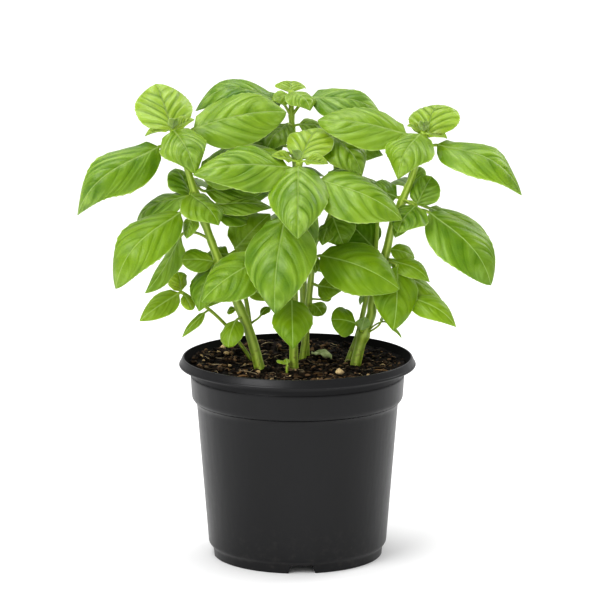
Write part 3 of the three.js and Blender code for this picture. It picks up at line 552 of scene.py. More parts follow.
# Each plant is a list of shoots. A shoot has its axis from the root up, its radius at the foot and at the
# top, and its leaves: height on the stem, base of the blade, tip, width, bow of the midrib, roll, form.
PLANTS = {
    "stem_left": [
        dict(
            axis=[
                (-14, -13, 80), (-20.5, -13, 106.3), (-26, -11, 126), (-33.5, -9, 144.5), (-44.5, -8, 170),
                (-55.5, -7, 202.5), (-60.5, -7, 219), (-67.5, -6, 238),
            ],
            radius=(3, 1.3),
            leaves=[
                (237, (-68, -7, 237.8), (-77.3, 13, 260.3), 31, 2, -15, "round"),
                (237, (-70, -7, 238), (-82.7, -7, 234.4), 7, 1, -20, "folded"),
                (237, (-66, -6, 238.5), (-56, -2, 242.7), 8, 1, 30, "folded"),
                (238, (-67.5, -8, 239), (-66, -14, 245), 6, 1, 0, "folded"),
                (235, (-66.8, -9, 237.6), (-54.6, -27, 216.5), 26, 8, 22, "ovate"),
                (224, (-75.6, -8, 228.5), (-119, -18, 193), 27, 18.8, -58, "drawn"),
                (224, (-56, -3, 238), (-6, 4, 246), 32, 6, 52, "broad"),
                (224, (-59, 5, 229), (-50, 38, 231), 24, 4, 0, "ovate"),
                (217, (-53, -1, 213), (-10, -2, 225), 28, 4, 45, "ovate"),
                (206, (-50, 1, 203), (-19.4, 8, 201), 18, 3, 40, "ovate"),
                (203, (-58, -12, 203), (-42.5, -25, 188.5), 26, 3, 0, "ovate"),
                (203, (-57, 3, 205), (-64, 36, 199), 22, 5, 0, "ovate"),
                (202, (-58.5, -2, 200.5), (-67, 7, 214.5), 19, 2, 0, "round"),
                (200, (-61, -6, 201), (-88, -3, 185), 18, 6, -35, "ovate"),
                (197, (-45, -3, 196), (-14, -1, 194), 14, 3, 40, "ovate"),
                (190, (-57, -12, 191), (-60, -18, 180), 11, 1, 0, "ovate"),
                (190, (-46, 5, 190), (-20, 14, 187), 20, 3, 30, "ovate"),
                (187, (-64, -14, 193.2), (-98.3, -28, 154.3), 27.3, 16, -44, "hanging"),
                (187, (-46, 3, 189), (-28, 34, 183), 24, 6, 0, "ovate"),
                (176, (-64, -4, 178.6), (-83.8, 2, 146), 17, -2, -50, "ovate"),
                (168, (-46, -11, 166), (-63, -16, 167.8), 14, 2, -55, "round"),
                (166, (-46, -11, 164), (-53.5, -22, 140.5), 20, 3, -10, "ovate"),
                (160, (-37, -1, 162), (-42, 34, 150), 22, 5, 0, "ovate"),
                (140, (-34, -9, 139), (-38.5, -8, 137), 5.5, 1, -40, "round"),
                (134, (-33.5, -15, 134), (-37.5, -25, 121), 14, 2, 0, "round"),
            ],
        ),
        dict(
            axis=[(-25.5, -11, 124), (-27, -3, 136), (-29, 0, 147), (-31, 2, 160), (-33.5, 3, 172)],
            radius=(1.2, 1),
            leaves=[
                (171, (-34, 1, 171), (-15, 9, 189), 26, 3, 60, "ovate"),
                (169, (-38, 0, 168), (-52, 6, 165), 14, 2, -40, "ovate"),
                (158, (-33, -3, 160), (-49, -15, 141.5), 18, 3, -20, "ovate"),
                (148, (-27, -3, 150), (-16, -7, 143.5), 9, 1, 30, "ovate"),
                (130, (-20, -7, 135.5), (-15, -5, 139.5), 6, 1, 30, "round"),
            ],
        ),
    ],
    "stem_left_low": [
        dict(
            axis=[
                (-14, 10, 80), (-25.2, 6.8, 106.3), (-31.5, 4, 117), (-38, 0, 127), (-49, -4, 138.5),
                (-63.6, -8, 148.6),
            ],
            radius=(1.1, 0.8),
            leaves=[
                (148, (-64, -9, 149.5), (-65.5, -10, 160), 14, 1, -80, "round"),
                (148, (-65, -9, 148), (-86, -16, 134), 14, 2, -50, "ovate"),
                (147, (-62, -10, 147), (-57.5, -16, 140), 8, 1, 0, "round"),
                (137, (-51, -6, 136.5), (-63, -11, 124), 6, 1, -30, "ovate"),
            ],
        ),
    ],
    "stem_centre_front": [
        dict(
            axis=[(-2.5, -13, 80), (-2, -13, 106.3), (-2, -12, 140), (-1, -12, 180), (1, -14, 221.5)],
            radius=(2.7, 1.3),
            leaves=[
                (221, (2, -13, 223), (12, 6, 237), 26, 3, 10, "round"),
                (221, (-3, -15, 222.5), (-14, -16, 225), 7, 1, -40, "folded"),
                (221, (4, -15, 222), (16.7, -18, 221), 8, 1, 40, "folded"),
                (221, (0.5, -15, 223), (-2.5, -21, 229), 6, 1, 0, "folded"),
                (216, (0.5, -19, 219.5), (0.3, -47, 185), 32, 6, 0, "ovate"),
                (214, (-5.5, -18, 219), (-56, -31, 217), 29.5, 6.5, -47, "ovate"),
                (208, (12.5, -20, 212.5), (56.4, -28, 192), 35, 5, 35, "ovate"),
                (196, (-6.8, -27, 193), (-12, -46, 144), 39, 7, -5, "ovate"),
                (196, (3, -5, 196), (5, 2, 163), 16, 2, 180, "ovate"),
                (172, (-21, -26, 170), (-51.6, -33, 148), 28, 5, -45, "ovate"),
                (146, (-3, -20, 146), (-2.4, -40, 123.5), 22, 4, 0, "ovate"),
            ],
        ),
    ],
    "stem_centre_right": [
        dict(
            axis=[
                (1, 6.5, 80), (2.6, 6.8, 106.3), (4.7, 7, 122), (6.3, 6, 141.4), (8.5, 4, 163.8),
                (9.6, 3, 173.7), (16.5, 2, 185), (21, 6, 205), (20, 10, 228),
            ],
            radius=(1.9, 1.1),
            leaves=[
                (226, (17, 7, 234), (35, -4, 212), 27, 6, 20, "ovate"),
                (222, (22, 12, 228), (47, 16, 220.5), 21, 3, 30, "ovate"),
                (210, (21, 2, 212.5), (26, -7, 216), 14, 2, 0, "ovate"),
                (205, (25, 9, 206), (46, 28, 199), 22, 5, 10, "ovate"),
                (186, (19.5, 0, 188.5), (26, -4, 172.5), 20, 3, 60, "ovate"),
                (184, (17, 0, 185), (13.5, -8, 174.5), 10, 1, 0, "ovate"),
                (165, (9, 1, 167), (10, -5, 158.5), 6, 1, 0, "ovate"),
                (160, (13, -7, 168.5), (55.3, -24, 153.2), 30.5, 8.5, 48, "broad"),
                (150, (11.5, 0, 150.5), (24, -5, 148.5), 14, 2, 60, "ovate"),
                (141, (13, 5, 142), (18.7, 5, 142.7), 4, 0, 40, "round"),
                (139, (8, 3, 139.5), (13.8, -3, 134.5), 12, 2, 20, "round"),
            ],
        ),
    ],
    "stem_centre_back": [
        dict(
            axis=[(5, 23, 80), (4.5, 24, 106.3), (3, 24, 150), (0, 25, 200), (-3, 26, 235), (-3.5, 26, 255)],
            radius=(2.4, 1.2),
            leaves=[
                (254, (-4, 27, 254), (-3.5, 37, 258.6), 17, 2, 0, "round"),
                (252, (-5, 22, 253), (-14, 17, 250.5), 11, 1, -30, "ovate"),
                (252, (-2, 22, 254.5), (7, 10, 246), 19, 3, 0, "ovate"),
                (241, (-9, 26, 248.5), (-56, 22, 244.2), 26, 14, -35, "ovate"),
                (241, (8, 22, 251.5), (45.5, 18, 243.5), 22, 6, 42, "ovate"),
                (234, (-6, 20, 237), (-17, 9, 223), 22, 3, 0, "ovate"),
                (234, (1, 23, 236.5), (15, 24, 232.5), 11, 3, 40, "ovate"),
                (230, (-3, 33, 229), (-8, 64, 220), 28, 4, 0, "ovate"),
                (222, (-8, 21, 225), (-36, 12, 225.5), 16, 3, -40, "ovate"),
                (220, (6, 32, 223), (36, 56, 213), 26, 6, 0, "ovate"),
                (218, (-11, 32, 220), (-42, 54, 211), 26, 6, 0, "ovate"),
                (208, (-1, 35, 209), (4, 64, 196), 28, 6, 0, "ovate"),
                (196, (8, 32, 199), (34, 58, 186), 26, 6, 0, "ovate"),
                (194, (-9, 32, 197), (-34, 57, 184), 26, 6, 0, "ovate"),
                (184, (0, 36, 186), (-6, 64, 170), 28, 6, 0, "ovate"),
                (172, (9, 31, 175), (35, 54, 161), 26, 6, 0, "ovate"),
                (170, (-6, 32, 173), (-32, 54, 159), 26, 6, 0, "ovate"),
                (154, (6, 32, 156), (24, 56, 142), 22, 5, 0, "ovate"),
                (152, (-3, 32, 154), (-18, 56, 140), 22, 5, 0, "ovate"),
            ],
        ),
    ],
    "stem_right": [
        dict(
            axis=[
                (26.5, -3, 80), (31.8, -3, 106.3), (35.5, -1, 121), (40.5, -1, 134.3), (41.5, -2, 143),
                (48.5, -4, 170), (52, -5, 185.4), (58.5, -6, 202.2), (63.5, -7, 215.8), (68.5, -8, 237),
            ],
            radius=(3, 1.3),
            leaves=[
                (236, (70.5, -9, 234), (79, 6, 249.6), 30, 6, 8, "round"),
                (236, (71, -10, 236), (81, -13, 234), 7, 1, 30, "folded"),
                (236, (67, -8, 237.5), (59.5, -7, 240), 6, 1, -30, "folded"),
                (237, (68.5, -10, 238), (68, -15.5, 243.5), 6, 1, 0, "folded"),
                (234, (66.2, -12, 236), (54, -29, 214.3), 27, 7, -12, "ovate"),
                (224, (58.7, -6, 235.4), (11, 0, 242), 26, 4.5, -47, "broad"),
                (224, (60, 2, 229), (48, 36, 227), 22, 5, 0, "ovate"),
                (222, (76, -10, 230), (121, -22, 204.5), 27, 10.5, 30, "ovate"),
                (206, (63, -3, 207), (67, 4, 216), 11, 1, 0, "round"),
                (203, (59, 2, 206), (64, 34, 199), 20, 5, 0, "ovate"),
                (200, (54, -1, 200), (36, 4, 203), 20, 3, -40, "ovate"),
                (198, (65, -11, 197.5), (73, -8, 212.5), 18, 1, 65, "round"),
                (198, (64, -14, 197), (54, -27, 184.5), 23, 3, 10, "ovate"),
                (196, (72, -5, 194.5), (108, -8, 166.5), 20, 8, 30, "ovate"),
                (192, (58, -9, 189), (53, -15, 180), 9, 1, 10, "ovate"),
                (188, (51, 3, 190), (38, 34, 183), 24, 6, 0, "ovate"),
                (187, (72, -12, 193), (104.8, -25, 155.6), 31.9, 9.3, 36, "hanging"),
                (170, (51, -2, 171), (64, -3, 166.5), 13, 2, 40, "round"),
                (166, (52, -7, 165.5), (72, -14, 155.3), 13, 5, 40, "ovate"),
                (162, (54.5, -12, 163), (52, -23, 130), 26, 3, 0, "ovate"),
                (162, (48, 3, 165), (60, 32, 153), 20, 3, 0, "ovate"),
                (158, (56, -2, 158), (80.5, -4, 140), 14, 3, 30, "ovate"),
                (146, (61, -8, 146), (86.5, -16, 130.8), 15, 6, 45, "ovate"),
                (124, (31.5, -8, 131), (18.4, -14, 134.5), 18, 2, -60, "round"),
                (124, (35, -6, 127), (37, -8, 134.5), 8, 1, 0, "round"),
                (122, (50, -5, 130.5), (57, -8, 123), 5, 1, 0, "ovate"),
                (122, (46, -4, 131.5), (53, -9, 143), 10, 1, 0, "round"),
            ],
        ),
    ],
    "stem_right_second": [
        dict(
            axis=[
                (20, 4, 80), (27.4, 3.5, 106.3), (33.2, 5, 122), (37.7, 5, 141.4), (41, 5, 155),
                (43, 5, 169.5), (44, 7, 186),
            ],
            radius=(1.5, 1),
            leaves=[
                (168, (42, 6, 170.5), (27, 14, 185), 22, 2, -60, "ovate"),
                (150, (38, 8, 148), (34.5, 9, 138), 8, 1, 0, "ovate"),
            ],
        ),
    ],
}
UP = np.array([0.0, 0.0, 1.0])
# A blade's form: exponents of its outline to the base and to the tip, how far its halves rise and then curl
# down as shares of the half width, and how much its bow leans to the tip.
FORMS = {
    "ovate": (0.5, 0.85, 0.15, 0.5, 0.4),
    "broad": (0.5, 0.65, 0.15, 0.5, 0.2),
    "round": (0.5, 0.5, 0.2, 0.45, 0.1),
    "drawn": (0.5, 0.9, 0.1, 0.65, 0.5),
    "hanging": (0.55, 0.7, 0.05, 0.35, 0.4),
    "folded": (0.5, 0.85, 0.6, 0.1, 0.2),
}
STEM_COLUMNS = 20
# The steps between a stem's or stalk's loops, and between a blade's columns and its rows.
STEM_STEP, BLADE_STEPS = 1.2, (0.95, 0.7)
BLADE_THICKNESS = 0.34
VEIN_PAIRS = 4.4, 5.8
# A leaf's stalk. A narrow blade has a thinner one: least_share + width / width_to_full of the full size.
PETIOLE = dict(half_width=1.0, thickness=1.6, least_share=0.5, width_to_full=45)
# The slots of a plant's materials, and the distance that stands for no pale line near.
STALK, UPPER, UNDER = 0, 1, 2
NO_LINE = 99.0
PLANT_SEED, SEEDLING_SEED = 100, 5


def unit(vectors):
    """Vectors made one unit long."""
    return vectors / np.linalg.norm(vectors, axis=-1, keepdims=True)


def square_to(directions, along):
    """Directions turned square to others: d - (d.a) a, made one unit long."""
    return unit(directions - np.sum(directions * along, -1, keepdims=True) * along)


def ease(share):
    """0 up to 0, 1 from 1 on, and 3s^2 - 2s^3 between."""
    share = np.clip(share, 0, 1)
    return share**2 * (3 - 2 * share)


def folded_round(upper, lower):
    """Closed loops, one for each row: the upper points one way and the lower points back."""
    return np.concatenate([upper, lower[:, ::-1]], axis=1)


def blade_outline(form, t):
    """A blade's half width at the share t of its length, 1 where it is widest: t^p (1-t)^q over the value
    that this has at its widest place, p / (p + q)."""
    to_base, to_tip = FORMS[form][:2]
    widest = to_base / (to_base + to_tip)
    return t**to_base * (1 - t) ** to_tip / (widest**to_base * (1 - widest) ** to_tip)


def stem_course(axis, share):
    """A smooth line through the axis points, as place and direction. Between two points it is the cubic that
    passes them with half the step between each one's neighbours as its speed."""
    axis = np.array(axis, float)
    padded = np.concatenate([2 * axis[:1] - axis[1:2], axis, 2 * axis[-1:] - axis[-2:-1]])
    step = np.minimum((share * (len(axis) - 1)).astype(int), len(axis) - 2)
    s = (share * (len(axis) - 1) - step)[:, None]
    before, start, end, after = (padded[step + k] for k in range(4))
    leave, arrive = (end - before) / 2, (after - start) / 2
    a, b = 2 * start - 2 * end + leave + arrive, -3 * start + 3 * end - 2 * leave - arrive
    return start + leave * s + b * s**2 + a * s**3, unit(leave + 2 * b * s + 3 * a * s**2)


def stem_skin(shoot, youth_from):
    """A squarish tube along the shoot's axis. Its radius falls evenly from foot to top, swells by a tenth
    at each leaf, and follows 1 + 0.08 cos 4a + 0.02 cos 8a round the axis, for four ribs with grooves. It
    turns young over the 60 mm that end 20 mm over youth_from."""
    length = np.linalg.norm(np.diff(np.array(shoot["axis"]), axis=0), axis=1).sum()
    share = np.linspace(0, 1, int(length / STEM_STEP))
    centre, along = stem_course(shoot["axis"], share)
    aside = square_to(np.array([1.0, 0.0, 0.0]), along)
    ahead = np.cross(along, aside)
    foot_radius, top_radius = shoot["radius"]
    radius = foot_radius + (top_radius - foot_radius) * share
    for leaf in shoot["leaves"]:
        radius = radius * (1 + 0.1 * np.exp(-(((centre[:, 2] - leaf[0]) / 2.2) ** 2)))
    angle = 2 * pi * np.arange(STEM_COLUMNS) / STEM_COLUMNS
    ribs = 1 + 0.08 * np.cos(4 * angle) + 0.02 * np.cos(8 * angle)
    spokes = aside[:, None] * np.cos(angle)[:, None] + ahead[:, None] * np.sin(angle)[:, None]
    points = centre[:, None] + spokes * (radius[:, None] * ribs)[..., None]
    height = np.broadcast_to(centre[:, None, 2], points.shape[:2])
    nothing = np.zeros_like(height)
    # The painted ridge light, 0.5 + 0.5 cos 4a, is painted light on the four ribs and painted shade in the
    # grooves between them.
    marks = dict(
        painted_ridge_light=nothing + 0.5 + 0.5 * np.cos(4 * angle), youth=ease((height - youth_from + 40) / 60),
        shade=nothing + 0.5, groove=nothing, line=nothing + NO_LINE, across_veins=nothing,
        along_veins=nothing, pleat=nothing,
    )
    faces = skin_faces(*points.shape[:2])
    return dict(points=points.reshape(-1, 3), faces=faces, slots=np.full(len(faces), STALK), marks=marks)


def stalk_section(v):
    """A leaf stalk's section at v across, as shares of its half thickness: how far its faces stand off its
    middle, sqrt(1 - v^2), and how deep the gutter along its upper face is."""
    return np.sqrt(np.clip(1 - v**2, 0, 1)), 0.5 * np.exp(-((v / 0.45) ** 2))


def stalk_loops(ends, right, half_width, half_thickness, v):
    """A leaf's stalk as loops. Its middle is the cubic with the four given ends, from the stem to the
    blade's base, and it flares by 1 + 0.35 (1-s)^4 to where it leaves the stem."""
    reach = np.linalg.norm(ends[3] - ends[0])
    s = np.linspace(0, 1, max(4, int(reach / STEM_STEP)), endpoint=False)[:, None]
    weights = (1 - s) ** 3, 3 * s * (1 - s) ** 2, 3 * s**2 * (1 - s), s**3
    speeds = 3 * (1 - s) ** 2, 6 * s * (1 - s), 3 * s**2
    middle = sum(weight * end for weight, end in zip(weights, ends))[:, None]
    along = unit(sum(speed * (ends[k + 1] - ends[k]) for k, speed in enumerate(speeds)))
    side = square_to(right, along)
    face = np.cross(side, along)[:, None]
    flare = (1 + 0.35 * (1 - s) ** 4)[..., None]
    off_middle, gutter = (share[:, None] * half_thickness for share in stalk_section(v))
    across = middle + side[:, None] * (half_width * v)[:, None] * flare
    return folded_round(across + face * (off_middle * flare - gutter), across - face * off_middle * flare)


def leaf_skin(shoot, leaf, youth_from, chance):
    """Stalk and blade as loops of points, upper face first. Along the blade u runs from 0 to 1, and v runs
    across from -1 to 1. A row follows the side veins: it has gone forward to
    t = u + 1.38 u^0.4 (1-u)^1.3 (0.45 |v| + 0.55 v^2), with |v| alone in a round leaf. The midrib bows by
    4 t (1-t) (1 + droop (2t - 1)). Across, the blade rises by rise |v| and curls down by curl v^2 of its
    half width, swells between the veins by |sin(pi phase)|^0.7, where phase counts the side veins, and
    wavers at the margin. The marks tell the materials how young and how deep a green the leaf is, how
    strongly it is puckered, and where its veins, grooves and pale lines run."""
    node_height, base, tip, width, bow, roll, form = leaf
    _, _, rise, curl, droop = FORMS[form]
    samples, _ = stem_course(shoot["axis"], np.linspace(0, 1, 600))
    node = samples[np.argmin(np.abs(samples[:, 2] - node_height))]
    base, tip = np.array(base, float), np.array(tip, float)
    chord = tip - base
    length = np.linalg.norm(chord)
    straight = chord / length
    outward = unit((tip - node) * (1, 1, 0))
    right = square_to(np.cross(outward, UP), straight)
    right = right * cos(radians(roll)) + np.cross(straight, right) * sin(radians(roll))
    face = np.cross(right, straight)

    # The columns crowd at the midrib and at the margins, where the shape turns most.
    columns = int(np.clip(width / BLADE_STEPS[0], 9, 35)) // 2 * 2 + 1
    spread = np.linspace(-1, 1, columns)
    v = spread - 0.6 / (2 * pi) * np.sin(2 * pi * spread)

    # The stalk sets out sideways and up, and comes in along the blade's first slope.
    size = min(1, PETIOLE["least_share"] + width / PETIOLE["width_to_full"])
    stalk_half, half_thickness = PETIOLE["half_width"] * size, PETIOLE["thickness"] / 2 * size
    reach = np.linalg.norm(base - node)
    first = unit(chord + face * 4 * bow * (1 - droop))
    ends = [node, node + outward * 0.24 * reach + UP * 0.28 * reach, base - first * 0.35 * reach, base]
    stalk = stalk_loops(ends, right, stalk_half, half_thickness, v)

    # The outline. At the base it keeps the stalk's width for some 3 mm, and nowhere is it quite pointed.
    rows = int(np.clip(length / BLADE_STEPS[1], 12, 78))
    u = np.linspace(0, 1, rows)[:, None] ** 2
    sweep = 0 if form == "round" else 0.55
    lean = 1.38 * u**0.4 * (1 - u) ** 1.3
    t = np.clip(u + lean * ((1 - sweep) * np.abs(v) + sweep * v**2), 0, 1)
    blade_width, base_width = width / 2 * blade_outline(form, t), stalk_half * np.exp(-t * length / 3)
    half = np.sqrt(blade_width**2 + base_width**2 + 0.2**2)

    # The side veins, which stand a little apart left and right, and three teeth in the margin to each.
    pairs = chance.uniform(*VEIN_PAIRS)
    left_half = np.where(v > 0, 0.0, 1.0)
    phase = pairs * u ** (0.5 if form == "round" else 0.7) + 0.6 * chance.random() * left_half
    phase = phase + 0.14 * np.sin(7 * u + 2 * pi * chance.random() + 2.0 * left_half)
    near_vein = np.abs(phase - np.round(phase)) * length / pairs
    teeth = np.abs((3 * phase) % 1 - 0.35)
    serration = min(1.0, width / 28) * teeth * np.abs(v) ** 8 * np.sin(pi * t)
    x = v * (half + serration)

    # The midrib's line and the blade's directions along it, which swing by up to 6 degrees. The fourth
    # number drawn has no use, but the leaves after it hang on the order of the draws.
    swing_start, wave_start, ripple_start, _ = chance.random(4) * 2 * pi
    swing = (radians(6) * np.sin(2 * pi * t + swing_start) * t)[..., None]
    bowed = 4 * bow * t * (1 - t) * (1 + droop * (2 * t - 1))
    slope = 4 * bow * ((1 - 2 * t) * (1 + droop * (2 * t - 1)) + 2 * droop * t * (1 - t))
    middle = base + chord * t[..., None] + face * bowed[..., None]
    along = unit(chord + face * slope[..., None])
    side = square_to(right, along)
    top = np.cross(side, along)
    side, top = side * np.cos(swing) + top * np.sin(swing), top * np.cos(swing) - side * np.sin(swing)

    # The relief: swellings, a groove over the midrib, waves and ripples. High and young leaves are puckered
    # most, and what depends on the side veins fades out at the base and at the tip.
    at_shoot_tip = ease((node_height - youth_from + 8) / 12)
    youth = at_shoot_tip * (0.8 if form in ("round", "folded") else 0.2) + 0.15 * (width < 16)
    tapered = ease(t * 6) * ease((1 - t) * 3)
    swell = np.abs(np.sin(pi * phase)) ** 0.7 - 0.5
    pleated = 0.1 + 0.45 * ease((node_height - 140) / 80) + 0.2 * chance.random() + 0.4 * min(1, youth)
    relief = 0.11 * pleated * half * swell * np.abs(v) ** 0.5 * (1 - v**4) * tapered
    relief = relief - 0.3 * size * np.exp(-((x / 0.8) ** 2)) * (1 - t) ** 0.5 * ease(t * 8)
    relief = relief + 0.05 * half * np.sin(6 * t + wave_start) * np.abs(v) ** 3
    relief = relief + 0.035 * half * np.sin(11 * t + ripple_start + 2 * v) * v**2

    # The two faces, with the midrib and the side veins standing out below. Over the first 5 mm they grow
    # out of the stalk's section.
    is_blade = ease(t * length / 5)
    bend = is_blade * (half * (rise * np.abs(v) - curl * v**2) + relief)
    blade_half = BLADE_THICKNESS / 2 * np.sqrt(1 - 0.85 * v**8)
    rib = 0.75 * size * (1 - t) ** 0.6 * np.exp(-((x / (0.75 * size)) ** 2))
    side_rib = 0.25 * size * np.exp(-((near_vein / 0.6) ** 2)) * (1 - v**4) * tapered
    off_middle, gutter = stalk_section(v)
    is_stalk = (1 - is_blade) * half_thickness
    upper = is_blade * (bend + blade_half) + is_stalk * (off_middle - gutter)
    lower = is_blade * (bend - blade_half - rib - side_rib) - is_stalk * off_middle
    across = middle + side * x[..., None]
    blade = folded_round(across + top * upper[..., None], across + top * lower[..., None])

    # A vein's mark is a wide band with a sharp line in it; the upper face paints shade there, in the groove.
    # The pale lines are the midrib, which gets narrower to the tip, and the margin, whose pale line is
    # painted rim light.
    sharp, wide = np.exp(-((near_vein / 0.45) ** 2)), np.exp(-((near_vein / (0.22 * length / pairs)) ** 2))
    groove = np.clip(pleated, 0, 1) * (0.45 * wide + 0.55 * sharp) * (1 - np.abs(v) ** 2.5) * tapered
    # The distance to the nearer pale line: the midrib's, which is its own colour, and the margin's, which is
    # painted rim light.
    midrib_and_rim_light_line = np.minimum(np.abs(x) / (1.6 - t), half - np.abs(x) + 0.15)
    level = 0 * t
    on_stalk = np.zeros((len(stalk), columns))

    def for_both(stalk_values, blade_values):
        """A mark along the stalk and the blade, the same on both faces."""
        values = np.concatenate([on_stalk + stalk_values, level + blade_values])
        return folded_round(values, values)

    points = np.concatenate([stalk, blade])
    # The painted ridge light, v^2, is painted light on a stalk's edges and painted shade along its middle;
    # the blade's materials do not read it.
    marks = dict(
        painted_ridge_light=for_both(v**2, v**2),
        youth=np.full(points.shape[:2], min(1, youth + 0.15 * chance.random())),
        shade=np.full(points.shape[:2], 0.48 - 0.02 * ease((base[2] - 105) / 150) + 0.24 * chance.random()),
        groove=for_both(0, groove),
        line=for_both(NO_LINE, midrib_and_rim_light_line),
        across_veins=for_both(0, phase),
        along_veins=for_both(0, v + 3 * np.sign(v)),
        pleat=np.full(points.shape[:2], pleated),
    )
    faces = skin_faces(*points.shape[:2])
    slots = np.full(len(faces), STALK)
    row, column = np.divmod(np.arange((len(points) - 1) * 2 * columns), 2 * columns)
    blade_slots = np.where(column < columns - 1, UPPER, UNDER)
    slots[:len(row)] = np.where(row >= len(stalk), blade_slots, STALK)
    return dict(points=points.reshape(-1, 3), faces=faces, slots=slots, marks=marks)


def grown(name, shoots, seed):
    """A plant as one piece: the skins of its shoots' stems and leaves, put together. A shoot is youngest
    at its top, or from the height that it names."""
    chance = np.random.default_rng(seed)
    skins = []
    for shoot in shoots:
        youth_from = shoot.get("youth_from", shoot["axis"][-1][2])
        skins.append(stem_skin(shoot, youth_from))
        skins += [leaf_skin(shoot, leaf, youth_from, chance) for leaf in shoot["leaves"]]
    starts = np.cumsum([0] + [len(skin["points"]) for skin in skins])
    marks = {
        mark: np.concatenate([skin["marks"][mark].ravel() for skin in skins]) for mark in skins[0]["marks"]
    }
    return make_piece(
        name, np.concatenate([skin["points"] for skin in skins]),
        np.concatenate([skin["faces"] + start for skin, start in zip(skins, starts)]),
        [stalk_green, leaf_upper, leaf_under], np.concatenate([skin["slots"] for skin in skins]), marks,
    )


# The patterns' sizes in millimetres. A basil leaf's net of fine veins and the pores that make its shine
# uneven are finer, and are drawn as coarse as this so that they show.
CLOUDS, SPECKS, VEIN_NET = 12.5, 1.11, 1.61
STREAKS, FLECKS = 1.11, 2.38
# The streaks on a leaf follow its own veins: cells to a side vein, from midrib to margin, and to a shade,
# by which no two leaves get the same streaks.
LEAF_STREAKS = (1.8, 1.3, 40)


